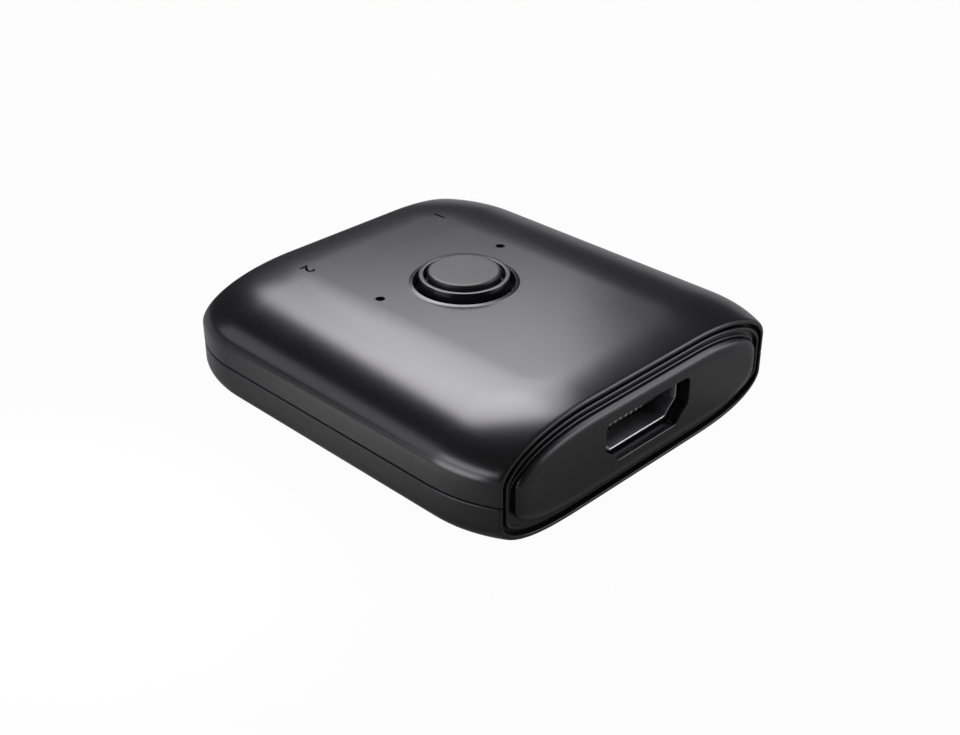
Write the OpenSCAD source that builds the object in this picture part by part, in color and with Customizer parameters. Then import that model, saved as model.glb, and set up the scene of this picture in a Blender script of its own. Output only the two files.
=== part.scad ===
// Video switch box with two sockets at the rear and one at the front.
// The origin is under the middle of the box, on the surface that its feet stand on.
// +Z is up, and -Y is the front, where the single socket is.

/* [Case] */
// Width of the case at the seam
case_w = 55; // [53:0.5:64]
// Length of the case from rim to rim
case_l = 55.6; // [54:0.2:66]
// Height of the case, without feet and button
case_h = 15.7; // [15.2:0.1:19]
// Radius of the corners in plan
corner_r = 17.7; // [17.2:0.1:19]
// How far the plan outline would run on past each cut-off end
end_run = 8.8; // [8:0.05:9]
// Width of the roll from the top face down to the side
crown_w = 15.2; // [12:0.1:15.3]
// Height of the roll from the top face down to the side
crown_h = 5.9; // [4.5:0.1:6.5]
// Width of the roll from the underside up to the side
chine_w = 9.3; // [9.1:0.1:11]
// Height of the roll from the underside up to the side
chine_h = 4.4; // [3.5:0.1:5]
// Thickness of the shells
wall = 1.8; // [1.5:0.1:2.1]
// Height of the seam above the underside
seam_z = 7.2; // [6.5:0.05:8]
// Open gap along the seam
seam_gap = 0.16; // [0.08:0.02:0.3]
// Height of the tongue that locates the shells
tongue_h = 1.1; // [0.6:0.1:1.6]

/* [End panels] */
// Width of the shells' rim around each panel
rim_w = 0.5; // [0.45:0.05:0.7]
// Thickness of the rim that holds the panel's flange in
rim_t = 1.2; // [0.8:0.1:1.8]
// Gap between the rim and the panel
panel_gap = 0.25; // [0.15:0.05:0.3]
// How far the hidden flange reaches past the panel's edge
flange_w = 0.4; // [0.35:0.05:0.45]
// Thickness of the hidden flange
flange_t = 1; // [0.8:0.1:1.4]
// Width of the outer edge ridge of the panel
ridge_w = 0.45; // [0.3:0.05:0.6]
// Width of the bead between the two grooves
bead_w = 0.4; // [0.2:0.05:0.5]
// Width of each groove
groove_w = 0.35; // [0.2:0.05:0.5]
// Depth of the grooves
groove_d = 0.5; // [0.3:0.05:0.8]
// How far the pad stands out from the rims
pad_rise = 0.9; // [0.6:0.05:1.4]
// Width of the rounded edge of the pad
pad_round = 1.8; // [1:0.1:2.2]
// How much of each inset the panel's corners lose in height
corner_loss = 0.4; // [0.35:0.05:0.6]

/* [Sockets] */
// Width inside a socket
port_w = 14; // [13.5:0.1:14.5]
// Height inside a socket
port_h = 4.55; // [4.3:0.05:4.8]
// Height of the sockets' centre above the underside
port_z = 7.9; // [7.7:0.05:8.4]
// Distance between the two rear sockets
port_pitch = 24.4; // [22:0.1:26]
// How far a socket's mouth lies behind the face of its panel
port_setback = 1.6; // [1.2:0.1:2]
// Clearance between a socket and its panel
port_clear = 0.45; // [0.3:0.05:0.6]
// Length of a socket's shell
port_l = 11.2; // [10.5:0.1:12]
// Thickness of the socket's sheet metal
sheet = 0.3; // [0.2:0.05:0.4]
// Gap between a socket and the board under it
port_lift = 0.225; // [0.1:0.025:0.4]
// How far the tongue's tip lies behind the mouth
tongue_tip = 2; // [1.8:0.1:2.6]
// Width of the tongue
tongue_w = 11.4; // [11:0.1:11.8]
// Thickness of the tongue
tongue_t = 1.6; // [1.4:0.05:1.8]
// Length of the insert's block behind the tongue
block_l = 3; // [2.5:0.1:3.5]

/* [Button] */
// Place of the button along the case
button_y = 3.1; // [1:0.1:5]
// Diameter of the button cap
cap_d = 9.8; // [9:0.1:10.4]
// Height of the cap above the lid
cap_rise = 1.75; // [1.5:0.05:2.5]
// Radius of the cap's rim
cap_round = 0.35; // [0.2:0.05:0.6]
// Outer diameter of the collar
collar_d = 12.2; // [11.8:0.1:12.8]
// Thickness of the collar
collar_t = 0.6; // [0.4:0.05:0.7]
// Height of the collar above the lid
collar_rise = 1.2; // [0.8:0.05:1.4]
// Diameter of the hole in the lid
moat_d = 14.1; // [13.6:0.1:15]
// Depth of the ring between the collar and the lid
moat_depth = 0.7; // [0.4:0.05:1]
// Width of the chamfer round the hole
moat_edge = 0.25; // [0.1:0.05:0.4]
// Travel of the button
button_travel = 0.6; // [0.3:0.05:0.8]
// Gap between the cap's skirt and the collar
guide_gap = 0.1; // [0.05:0.01:0.2]

/* [Indicators] */
// Distance of each indicator from the middle
lamp_x = 11.2; // [10.5:0.1:12]
// How far the indicators lie in front of the rear screws
lamp_ahead = 4.7; // [4.5:0.1:6]
// Diameter of the holes in the lid
lamp_hole_d = 1.24; // [1:0.02:1.6]
// Diameter of the light pipes under the lid
pipe_d = 2.2; // [1.8:0.1:2.2]

/* [Board] */
// Thickness of the board
board_t = 1.6; // [1:0.1:1.6]
// Gap between the board and the end panels
board_end_gap = 1; // [0.5:0.1:1.5]
// Gap between the board and the side walls
board_side_gap = 1.7; // [1.3:0.1:2.5]
// Width of the tact switch
switch_w = 6; // [5.6:0.1:6.4]
// Height of the tact switch, with its cover
switch_h = 3.4; // [3.2:0.1:3.8]
// Width of the selector chip
chip_w = 8; // [6:0.1:8.5]

/* [Fixings] */
// Distance of each screw from the middle, across the case
screw_x = 14; // [13.5:0.1:14.4]
// Gap between the screws' pillars and the feet of the rear sockets' contacts
screw_gap = 0.35; // [0.2:0.05:1]
// Diameter of the screws
screw_d = 2; // [1.6:0.1:2.2]
// Length of the screws under the head
screw_l = 8; // [6:0.5:9]
// Diameter of the screw heads
head_d = 3.8; // [3.4:0.1:4]
// Height of the screw heads
head_h = 1.3; // [1:0.1:1.4]
// Diameter of the rubber feet
foot_d = 7; // [6:0.1:7.4]
// Depth of the pockets that hold the feet
foot_pocket = 0.6; // [0.4:0.05:0.8]
// How far the feet stand out from the underside
foot_rise = 0.8; // [0.5:0.05:1.2]

/* [Hidden] */
$fn = 64;

// Small values shared by several pieces
slip = 0.05;       // gap of a part that is simply set in place
over = 1;          // how far a cutting tool runs past the face it cuts
root = 0.3;        // how far a boss or a rib grows into its wall
curve_steps = 10;  // steps along each rolled edge outside
inner_steps = 6;   // steps along each rolled edge inside

// Heights
under_z = foot_rise;
top_z = under_z + case_h;
floor_z = under_z + wall;
ceiling_z = top_z - wall;
split_z = under_z + seam_z;
port_cz = under_z + port_z;
board_top = port_cz - port_h / 2 - sheet - port_lift;
board_z = board_top - board_t;
head_seat = under_z + foot_pocket + head_h + slip;

// Places along the case, counted from its middle to either end
rim_y = case_l / 2;
pad_y = rim_y + pad_rise;
flange_y = rim_y - rim_t;
mouth_y = pad_y - port_setback;
board_l = 2 * (flange_y - flange_t - board_end_gap);
board_w = case_w - 2 * (wall + board_side_gap);
board_corner = 4;

// Insets of the end panel's edges from the outline of the rim
panel_in = rim_w + panel_gap;
flange_in = panel_in - flange_w;
slot_in = flange_in - slip;
pad_in = panel_in + ridge_w + bead_w + 2 * groove_w;
pad_steps = 4;
skin = 0.02;

// Contacts
contact_pitch = 0.5;
contact_count = 19;
contact_w = 0.36;
contact_t = 0.15;
contact_back = 0.4;
contact_foot = 0.9;
contact_hook = 0.5;
contact_end = port_l + contact_back - contact_t + contact_foot;

// Button and tact switch
collar_in = collar_d / 2 - collar_t;
skirt_r = collar_in - guide_gap;
bezel_flange = 1.2;
bezel_t = 0.8;
bezel_z = ceiling_z - bezel_t;
cap_flange = 0.8;
cap_wall = 1;
cap_top_t = 1.2;
skirt_drop = 0.7;
plunger_r = 1.7;
plunger_spare = 0.9;
plunger_rise = button_travel + plunger_spare;
switch_top = board_top + switch_h;
cover_t = 0.2;
plunger_top = switch_top + plunger_rise;
well_r = 2.5;
well_floor = 1.1;
well_z = board_top + well_floor;
dome_r = 2.2;
dome_spare = 0.15;
dome_rise = button_travel + dome_spare;
dome_t = 0.1;
plunger_flange_t = 0.7;
terminal_w = 0.7;
terminal_l = 1.1;
terminal_t = 0.2;
terminal_pitch = 4.5;

// Chips on the board
chip_h = 0.9;
chip_gap = 1.5;
pin_mark_d = 0.8;
pin_mark_in = 1.2;
pin_mark_depth = 0.1;
chip_y = button_y - switch_w / 2 - chip_w / 2 - chip_gap;
array_size = [2.4, 1, 0.5];
array_gap = 1.4;
array_spread = 2.9;
array_in = 5.5;
part_size = [1, 0.5, 0.45];
part_pitch = 1.5;
part_rows = 4;

// Screws, whose pillars stand just behind the rear sockets
hole_clear = 0.15;
clear_hole = screw_d / 2 + hole_clear;
pilot_clear = 0.02;
pilot_hole = screw_d / 2 + pilot_clear;
pillar_r = 2.4;
screw_y = mouth_y - contact_end - pillar_r - screw_gap;
boss_r = 3.3;
pilot_room = 0.5;
head_clear = 0.2;
recess_w = 0.5;
recess_l = 1.9;
recess_depth = 0.65;

// Lamps
lamp_y = screw_y - lamp_ahead;
lamp_l = 1.6;
lamp_w = 0.8;
lamp_h = 0.7;
lens_l = 1.1;
lamp_base_h = 0.35;
pipe_gap = 0.2;
pipe_sink = 0.1;

// Feet
foot_edge = 0.3;

// Socket shape, as steps in from the full width and down from the centre
taper_z = 0.45;
step_in = 1.05;
step_z = 1.3;
sole_in = 1.85;
leg_w = 1.4;
leg_past = 0.6;
leg_places = [4.6, 9];
spring_x = 2.9;
spring_y = 3;
spring_w = 1.8;
spring_l = 4;
spring_slot = 0.3;

FRONT_PORT = 0;
REAR_PORT_1 = 1;
REAR_PORT_2 = 2;

// Rounds to a thousandth, so that faces which share an edge meet exactly
function snap(v) = round(v * 1000) / 1000;

// Side of the case as [distance in from the widest line, height], from the underside up to the top
function side_curve(inset, steps) = [
    for (k = [0 : steps])
        let (turn = 90 - 90 * k / steps)
        [(chine_w - inset) * (1 - cos(turn)), inset + (chine_h - inset) * (1 - sin(turn))],
    for (k = [0 : steps])
        let (turn = 90 * k / steps)
        [(crown_w - inset) * (1 - cos(turn)), case_h - inset - (crown_h - inset) * (1 - sin(turn))]
];

// The same side at a distance from an axis
function side_points(reach, inset, steps) = [
    for (p = side_curve(inset, steps)) [snap(reach - inset - p.x), snap(p.y)]
];

// Right points and their mirror images as one loop
function mirror_loop(points) = concat(
    points,
    [for (k = [len(points) - 1 : -1 : 0]) [-points[k].x, points[k].y]]
);

// Half of the case's outline where its end is cut off, along one rolled edge
function rim_points(roll_w, roll_h, steps) = [
    for (k = [0 : steps])
        let (
            inset = end_run * pow(cos(90 * k / steps), 2),
            across = sqrt(max(0, pow(corner_r - inset, 2) - pow(corner_r - end_run, 2))),
            rise = roll_h * (1 - sqrt(1 - pow(1 - inset / roll_w, 2)))
        )
        [case_w / 2 - corner_r + across, rise]
];

// Draws such a half outline in by an inset, with a rounder corner than an even offset would leave
function drawn_in(points, inset) =
    let (
        roof = points[0],
        side = points[len(points) - 1],
        span = side.x - roof.x,
        tall = side.y - roof.y
    )
    [for (p = points) [
        roof.x + (p.x - roof.x) * (span - inset) / span,
        roof.y + inset + (p.y - roof.y) * (tall - corner_loss * inset) / tall
    ]];

// Outline of the case's cut-off end, drawn in by an inset
module rim_outline(inset) {
    lower = drawn_in(rim_points(chine_w, chine_h, curve_steps), inset);
    upper = drawn_in(rim_points(crown_w, crown_h, curve_steps), inset);
    right = concat(lower, [for (k = [curve_steps : -1 : 0]) [upper[k].x, case_h - upper[k].y]]);
    polygon([for (p = mirror_loop(right)) [snap(p.x), snap(p.y)]]);
}

// Slab of that outline between two distances from the middle, at the front end
module end_slab(inset, from_y, to_y) {
    translate([0, -from_y, under_z])
        rotate([90, 0, 0])
        linear_extrude(to_y - from_y)
        rim_outline(inset);
}

// Repeats a front piece at the rear
module both_ends() {
    children();
    rotate([0, 0, 180])
        children();
}

// Rounded pillow that the case is cut from, drawn in by an inset
module pillow(inset, steps) {
    corner_x = case_w / 2 - corner_r;
    corner_y = rim_y + end_run - corner_r;
    corner_points = concat([[0, inset]], side_points(corner_r, inset, steps), [[0, case_h - inset]]);
    translate([0, 0, under_z]) {
        for (turn = [0, 180])
            rotate([0, 0, turn]) {
                translate([corner_x, corner_y, 0])
                    rotate_extrude(angle = 90)
                    polygon(corner_points);
                translate([-corner_x, corner_y, 0])
                    rotate([0, 0, 90])
                    rotate_extrude(angle = 90)
                    polygon(corner_points);
            }
        rotate([90, 0, 0])
            linear_extrude(2 * corner_y, center = true)
            polygon(mirror_loop(side_points(case_w / 2, inset, steps)));
        rotate([90, 0, 90])
            linear_extrude(2 * corner_x, center = true)
            polygon(mirror_loop(side_points(rim_y + end_run, inset, steps)));
    }
}

// Flat outline of a rounded rectangle
module rounded_rect(w, l, r) {
    square([w - 2 * r, l], center = true);
    square([w, l - 2 * r], center = true);
    for (x = [-1, 1], y = [-1, 1])
        translate([x * (w / 2 - r), y * (l / 2 - r)])
            circle(r);
}

// Plan of the case at the seam, drawn in by an inset
module plan(inset) {
    rounded_rect(case_w - 2 * inset, 2 * (rim_y + end_run - inset), corner_r - inset);
}

// Hollow case between two heights, cut off at both ends and slotted for the end panels.
// Children are added to the block before it is hollowed.
module hollow_case(low_z, high_z) {
    difference() {
        union() {
            intersection() {
                pillow(0, curve_steps);
                translate([-case_w / 2 - over, -rim_y, low_z])
                    cube([case_w + 2 * over, 2 * rim_y, high_z - low_z]);
            }
            children();
        }
        pillow(wall, inner_steps);
        both_ends() {
            end_slab(rim_w, flange_y - slip, rim_y + over);
            end_slab(slot_in, flange_y - flange_t - slip, flange_y);
        }
    }
}

// Children at the four screws
module at_screws() {
    for (x = [-1, 1], y = [-1, 1])
        translate([x * screw_x, y * screw_y, 0])
            children();
}

// Block inside the walls' middle line, clear of the end panels
module wall_strip(inset, low_z, high_z, end_gap) {
    strip_y = flange_y - flange_t - end_gap;
    translate([0, 0, low_z])
        linear_extrude(high_z - low_z)
        intersection() {
            plan(inset);
            square([case_w, 2 * strip_y], center = true);
        }
}

module top_shell() {
    color("#2b2b2d")
        difference() {
            union() {
                difference() {
                    hollow_case(split_z + seam_gap / 2, top_z + over);
                    wall_strip(wall / 2, split_z - over, split_z + tongue_h + 2 * slip, root);
                }
                // Pillars that the screws bite into
                at_screws()
                    translate([0, 0, board_top])
                    cylinder(r = pillar_r, h = ceiling_z + root - board_top);
            }
            at_screws()
                translate([0, 0, board_top - over])
                cylinder(r = pilot_hole, h = head_seat + screw_l + pilot_room - board_top + over);
            // Hole for the bezel, with its chamfer
            translate([0, button_y, ceiling_z - over])
                cylinder(d = moat_d, h = wall + 2 * over);
            translate([0, button_y, top_z - moat_edge])
                cylinder(d1 = moat_d, d2 = moat_d + 4 * moat_edge, h = 2 * moat_edge);
            // Holes for the light pipes
            for (x = [-lamp_x, lamp_x])
                translate([x, lamp_y, ceiling_z - over])
                    cylinder(d = lamp_hole_d, h = wall + 2 * over);
        }
}

module bottom_shell() {
    color("#242426")
        difference() {
            union() {
                // Tray, with the tongue that locates the lid
                hollow_case(under_z - over, split_z - seam_gap / 2)
                    wall_strip(wall / 2 + slip, split_z - over, split_z + tongue_h, 2 * root);
                // Bosses that carry the board
                at_screws()
                    translate([0, 0, floor_z - root])
                    cylinder(r = boss_r, h = board_z - floor_z + root);
            }
            at_screws() {
                translate([0, 0, under_z - over])
                    cylinder(r = clear_hole, h = board_z - under_z + 2 * over);
                translate([0, 0, under_z - over])
                    cylinder(d = head_d + 2 * head_clear, h = head_seat - under_z + over);
                translate([0, 0, under_z - over])
                    cylinder(d = foot_d + 2 * slip, h = foot_pocket + over);
            }
        }
}

// Flat outline of a socket, grown outwards
module port_outline(grow) {
    half = [
        [port_w / 2 - sole_in, -port_h / 2],
        [port_w / 2 - step_in, -step_z],
        [port_w / 2, -taper_z],
        [port_w / 2, port_h / 2]
    ];
    polygon(grow_loop(mirror_loop(half), grow));
}

// Grows a convex loop, keeping its edges parallel
function edge_normal(a, b) = [b.y - a.y, a.x - b.x] / norm(b - a);
function grow_loop(loop, grow) = [
    for (k = [0 : len(loop) - 1])
        let (
            here = loop[k],
            into = edge_normal(loop[(k + len(loop) - 1) % len(loop)], here),
            out = edge_normal(here, loop[(k + 1) % len(loop)]),
            moved = here + grow * (into + out) / (1 + into * out)
        )
        [snap(moved.x), snap(moved.y)]
];

// Runs a flat outline back from the front, from one depth to another
module run_back(from_y, to_y) {
    translate([0, to_y, 0])
        rotate([90, 0, 0])
        linear_extrude(to_y - from_y)
        children();
}

// End panel with a socket opening at each place given
module end_panel(places) {
    color("#27272a")
        difference() {
            union() {
                end_slab(flange_in, flange_y - flange_t, flange_y);
                end_slab(panel_in, flange_y - flange_t, rim_y);
                // Pillowed pad
                hull()
                    for (k = [0 : pad_steps])
                        let (turn = 90 * k / pad_steps)
                        end_slab(
                            pad_in + pad_round * (1 - cos(turn)),
                            rim_y - root,
                            rim_y + pad_rise * sin(turn) + (k == 0 ? skin : 0)
                        );
            }
            // Two grooves with a bead between them
            for (inset = [panel_in + ridge_w, panel_in + ridge_w + groove_w + bead_w])
                difference() {
                    end_slab(inset, rim_y - groove_d, rim_y + over);
                    end_slab(inset + groove_w, rim_y - groove_d - over, rim_y + 2 * over);
                }
            for (x = places)
                translate([x, 0, port_cz])
                    run_back(-pad_y - over, -flange_y + flange_t + over)
                    port_outline(sheet + port_clear);
        }
}

module front_panel() {
    end_panel([0]);
}

module rear_panel() {
    rotate([0, 0, 180])
        end_panel([-port_pitch / 2, port_pitch / 2]);
}

// Children at a socket's mouth, with +Y running into the case
module at_port(port) {
    turn = port == FRONT_PORT ? 0 : 180;
    place = port == FRONT_PORT ? 0 : port == REAR_PORT_1 ? port_pitch / 2 : -port_pitch / 2;
    translate([place, 0, 0])
        rotate([0, 0, turn])
        translate([0, -mouth_y, port_cz])
        children();
}

// Legs of a socket's shell, which stand in slots in the board
module port_legs(grow) {
    bottom = board_z - port_cz - leg_past;
    for (side = [-1, 1], y = leg_places)
        translate([side * (port_w + sheet) / 2, y, (bottom - taper_z) / 2])
            cube([sheet + 2 * grow, leg_w + 2 * grow, -taper_z - bottom], center = true);
}

// Slots that free the spring fingers in the top and the bottom of a socket's shell
module spring_slots() {
    reach = spring_w / 2 + spring_slot;
    for (x = [-spring_x, spring_x], side = [-1, 1])
        translate([x, spring_y, side * (port_h + sheet) / 2]) {
            for (edge = [-1, 1])
                translate([edge * (reach - spring_slot / 2), spring_l / 2, 0])
                    cube([spring_slot, spring_l, 2 * sheet], center = true);
            translate([0, spring_l - spring_slot / 2, 0])
                cube([2 * reach, spring_slot, 2 * sheet], center = true);
        }
}

module port_shell(port) {
    color("#b9bbbf")
        at_port(port) {
            difference() {
                run_back(0, port_l)
                    difference() {
                        port_outline(sheet);
                        port_outline(0);
                    }
                spring_slots();
            }
            port_legs(0);
        }
}

// One contact: a hook on the tongue's tip, a beam along it, a leg behind the insert and a foot on the board
module contact(k) {
    upper = k % 2 == 0;
    x = (k - (contact_count - 1) / 2) * contact_pitch;
    beam_z = upper ? tongue_t / 2 : -tongue_t / 2 - contact_t;
    hook_z = upper ? tongue_t / 2 - contact_hook : -tongue_t / 2 - contact_t;
    foot_z = board_top - port_cz;
    leg_y = port_l + contact_back;
    translate([x - contact_w / 2, 0, 0]) {
        translate([0, tongue_tip, hook_z])
            cube([contact_w, contact_t, contact_hook + contact_t]);
        translate([0, tongue_tip, beam_z])
            cube([contact_w, leg_y - tongue_tip, contact_t]);
        translate([0, leg_y - contact_t, foot_z])
            cube([contact_w, contact_t, beam_z + contact_t - foot_z]);
        translate([0, leg_y - contact_t, foot_z])
            cube([contact_w, contact_foot, contact_t]);
    }
}

module contacts() {
    for (k = [0 : contact_count - 1])
        contact(k);
}

module port_insert(port) {
    color("#1d1d1f")
        at_port(port)
        difference() {
            union() {
                run_back(port_l - block_l, port_l)
                    port_outline(-slip);
                translate([-tongue_w / 2, tongue_tip, -tongue_t / 2])
                    cube([tongue_w, port_l - block_l + root - tongue_tip, tongue_t]);
            }
            contacts();
        }
}

module port_contacts(port) {
    color("#d8b25a")
        at_port(port)
        contacts();
}

module button_cap() {
    cap_r = cap_d / 2;
    cap_top = top_z + cap_rise;
    step = top_z + collar_rise - skirt_drop;
    color("#3a3a3d")
        translate([0, button_y, 0])
        rotate_extrude()
        difference() {
            union() {
                translate([0, step])
                    square([cap_r, cap_top - cap_round - step]);
                translate([0, step])
                    square([cap_r - cap_round, cap_top - step]);
                translate([cap_r - cap_round, cap_top - cap_round])
                    circle(cap_round);
                translate([0, bezel_z])
                    square([skirt_r, step - bezel_z]);
                translate([0, bezel_z - cap_flange])
                    square([collar_in + cap_flange, cap_flange]);
                translate([0, plunger_top])
                    square([plunger_r, bezel_z - plunger_top]);
            }
            // Hollow between the skirt and the stem
            translate([plunger_r, bezel_z - cap_flange - over])
                square([cap_r - cap_wall - plunger_r, cap_top - cap_top_t - bezel_z + cap_flange + over]);
        }
}

module button_bezel() {
    moat_r = moat_d / 2 - slip;
    moat_z = top_z - moat_depth;
    color("#161618")
        translate([0, button_y, 0])
        rotate_extrude()
        union() {
            translate([collar_in, bezel_z])
                square([moat_r - collar_in, moat_z - bezel_z]);
            translate([collar_in, bezel_z])
                square([moat_r + bezel_flange - collar_in, bezel_t]);
            translate([collar_in, bezel_z])
                square([collar_t, top_z + collar_rise - collar_t / 2 - bezel_z]);
            translate([collar_in + collar_t / 2, top_z + collar_rise - collar_t / 2])
                circle(collar_t / 2);
        }
}

module light_pipe(side) {
    foot_z = board_top + lamp_h + pipe_gap;
    color("#0c0c0e")
        translate([side * lamp_x, lamp_y, 0]) {
            translate([0, 0, foot_z])
                cylinder(d = pipe_d, h = ceiling_z - foot_z);
            translate([0, 0, ceiling_z - root])
                cylinder(d = lamp_hole_d - slip, h = wall - pipe_sink + root);
        }
}

module lamp(side) {
    color("#e9e4cf")
        translate([side * lamp_x, lamp_y, board_top]) {
            translate([-lamp_l / 2, -lamp_w / 2, 0])
                cube([lamp_l, lamp_w, lamp_base_h]);
            translate([-lens_l / 2, -lamp_w / 2, 0])
                cube([lens_l, lamp_w, lamp_h]);
        }
}

module main_board() {
    color("#16472c")
        difference() {
            translate([0, 0, board_z])
                linear_extrude(board_t)
                difference() {
                    rounded_rect(board_w, board_l, board_corner);
                    at_screws()
                        circle(clear_hole);
                }
            for (port = [FRONT_PORT, REAR_PORT_1, REAR_PORT_2])
                at_port(port)
                    port_legs(slip);
        }
}

// Box that stands on the board, about its middle
module on_board(x, y, w, l, h) {
    translate([x - w / 2, y - l / 2, board_top])
        cube([w, l, h]);
}

module selector_chip() {
    color("#202022")
        difference() {
            on_board(0, chip_y, chip_w, chip_w, chip_h);
            // Dot that marks the first pin
            translate([
                chip_w / 2 - pin_mark_in,
                chip_y + chip_w / 2 - pin_mark_in,
                board_top + chip_h - pin_mark_depth
            ])
                cylinder(d = pin_mark_d, h = over);
        }
}

// Surge arrays behind the sockets' contacts
module surge_arrays() {
    array_y = mouth_y - contact_end - array_gap;
    inner_x = port_pitch / 2 - array_in;
    color("#1a1a1c") {
        for (side = [-1, 1]) {
            on_board(side * array_spread / 2, -array_y, array_size.x, array_size.y, array_size.z);
            for (k = [0, 1])
                on_board(side * (inner_x + k * array_spread), array_y,
                    array_size.x, array_size.y, array_size.z);
        }
    }
}

// Rows of small chips on both sides of the selector chip
module chip_row(x) {
    for (k = [0 : part_rows - 1])
        on_board(x, chip_y + (k - (part_rows - 1) / 2) * part_pitch, part_size.x, part_size.y, part_size.z);
}

module chip_capacitors() {
    color("#a58a63")
        chip_row(chip_w / 2 + part_pitch);
}

module chip_resistors() {
    color("#2c2c30")
        chip_row(-chip_w / 2 - part_pitch);
}

module switch_base() {
    color("#19191b")
        difference() {
            on_board(0, button_y, switch_w, switch_w, switch_h - cover_t);
            translate([0, button_y, well_z])
                cylinder(r = well_r, h = switch_h);
        }
}

module switch_cover() {
    color("#c3c5c8")
        difference() {
            translate([-switch_w / 2, button_y - switch_w / 2, switch_top - cover_t])
                cube([switch_w, switch_w, cover_t]);
            translate([0, button_y, switch_top - cover_t - over])
                cylinder(r = plunger_r + guide_gap, h = cover_t + 2 * over);
        }
}

// Snap dome: a thin cap of a sphere that stands on the floor of the well
module switch_dome() {
    ball_r = (pow(dome_r, 2) + pow(dome_rise, 2)) / (2 * dome_rise);
    color("#cfcfc8")
        translate([0, button_y, well_z])
        rotate_extrude()
        intersection() {
            translate([0, dome_rise - ball_r])
                difference() {
                    circle(ball_r);
                    circle(ball_r - dome_t);
                }
            square([dome_r, 2 * dome_rise]);
        }
}

module switch_plunger() {
    flange_z = switch_top - cover_t - plunger_flange_t;
    nub_z = well_z + dome_rise;
    color("#6b2f2a")
        translate([0, button_y, 0]) {
            translate([0, 0, flange_z])
                cylinder(r = plunger_r, h = plunger_top - flange_z);
            translate([0, 0, flange_z])
                cylinder(r = well_r - guide_gap, h = plunger_flange_t);
            translate([0, 0, nub_z])
                cylinder(r = plunger_r / 2, h = flange_z - nub_z + root);
        }
}

module switch_terminals() {
    color("#c9cacc")
        for (x = [-1, 1], y = [-1, 1])
            on_board(x * (switch_w + terminal_l) / 2, button_y + y * terminal_pitch / 2,
                terminal_l, terminal_w, terminal_t);
}

module case_screws() {
    color("#8d8f93")
        at_screws()
        difference() {
            union() {
                translate([0, 0, head_seat - head_h])
                    cylinder(d = head_d, h = head_h);
                translate([0, 0, head_seat - root])
                    cylinder(d = screw_d, h = screw_l + root);
            }
            // Cross recess
            for (turn = [0, 90])
                rotate([0, 0, turn])
                translate([-recess_l / 2, -recess_w / 2, head_seat - head_h - over])
                cube([recess_l, recess_w, over + recess_depth]);
        }
}

// Rubber foot, with a chamfer round the face that it stands on
module foot(x, y) {
    foot_h = foot_rise + foot_pocket;
    color("#1b1b1b")
        translate([x * screw_x, y * screw_y, 0])
        rotate_extrude()
        polygon([
            [0, 0], [foot_d / 2 - foot_edge, 0], [foot_d / 2, foot_edge],
            [foot_d / 2, foot_h], [0, foot_h]
        ]);
}

top_shell();
bottom_shell();
front_panel();
rear_panel();
button_cap();
button_bezel();
light_pipe(1);  // light_pipe_1
light_pipe(-1);  // light_pipe_2
main_board();
selector_chip();
surge_arrays();
chip_capacitors();
chip_resistors();
lamp(1);  // lamp_1
lamp(-1);  // lamp_2
port_shell(FRONT_PORT);  // front_port_shell
port_insert(FRONT_PORT);  // front_port_insert
port_contacts(FRONT_PORT);  // front_port_contacts
port_shell(REAR_PORT_1);  // rear_port_1_shell
port_insert(REAR_PORT_1);  // rear_port_1_insert
port_contacts(REAR_PORT_1);  // rear_port_1_contacts
port_shell(REAR_PORT_2);  // rear_port_2_shell
port_insert(REAR_PORT_2);  // rear_port_2_insert
port_contacts(REAR_PORT_2);  // rear_port_2_contacts
switch_base();
switch_cover();
switch_dome();
switch_plunger();
switch_terminals();
case_screws();
foot(-1, -1);  // foot_front_left
foot(1, -1);  // foot_front_right
foot(-1, 1);  // foot_rear_left
foot(1, 1);  // foot_rear_right
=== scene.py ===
"""Looks of a pillow-shaped video switch box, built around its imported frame."""
import math

import bmesh
import bpy
import numpy as np
from mathutils import Matrix, Vector


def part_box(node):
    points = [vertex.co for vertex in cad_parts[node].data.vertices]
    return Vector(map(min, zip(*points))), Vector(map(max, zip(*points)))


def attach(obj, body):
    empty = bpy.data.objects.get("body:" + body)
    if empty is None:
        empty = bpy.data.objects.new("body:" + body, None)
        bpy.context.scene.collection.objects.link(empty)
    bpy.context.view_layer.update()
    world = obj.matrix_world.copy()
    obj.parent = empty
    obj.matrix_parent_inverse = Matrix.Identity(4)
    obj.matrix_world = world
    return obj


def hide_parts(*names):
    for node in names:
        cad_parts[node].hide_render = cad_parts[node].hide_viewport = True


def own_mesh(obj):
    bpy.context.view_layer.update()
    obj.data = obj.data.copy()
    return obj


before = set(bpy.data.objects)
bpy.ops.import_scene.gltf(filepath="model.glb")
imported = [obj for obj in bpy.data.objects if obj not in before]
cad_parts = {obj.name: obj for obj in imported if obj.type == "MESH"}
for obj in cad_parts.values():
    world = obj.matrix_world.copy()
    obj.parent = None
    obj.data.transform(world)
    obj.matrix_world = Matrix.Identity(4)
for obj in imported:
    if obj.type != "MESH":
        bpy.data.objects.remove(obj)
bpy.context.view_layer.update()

bl_info = {
    "name": "Video Switch Box",
    "version": (1, 0, 0),
    "blender": (4, 5, 0),
    "location": "3D View > Sidebar > Switch Box",
    "description": "Builds the looks of a pillow-shaped video switch box around its packed frame",
    "category": "Object",
}

MM = 0.001

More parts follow.
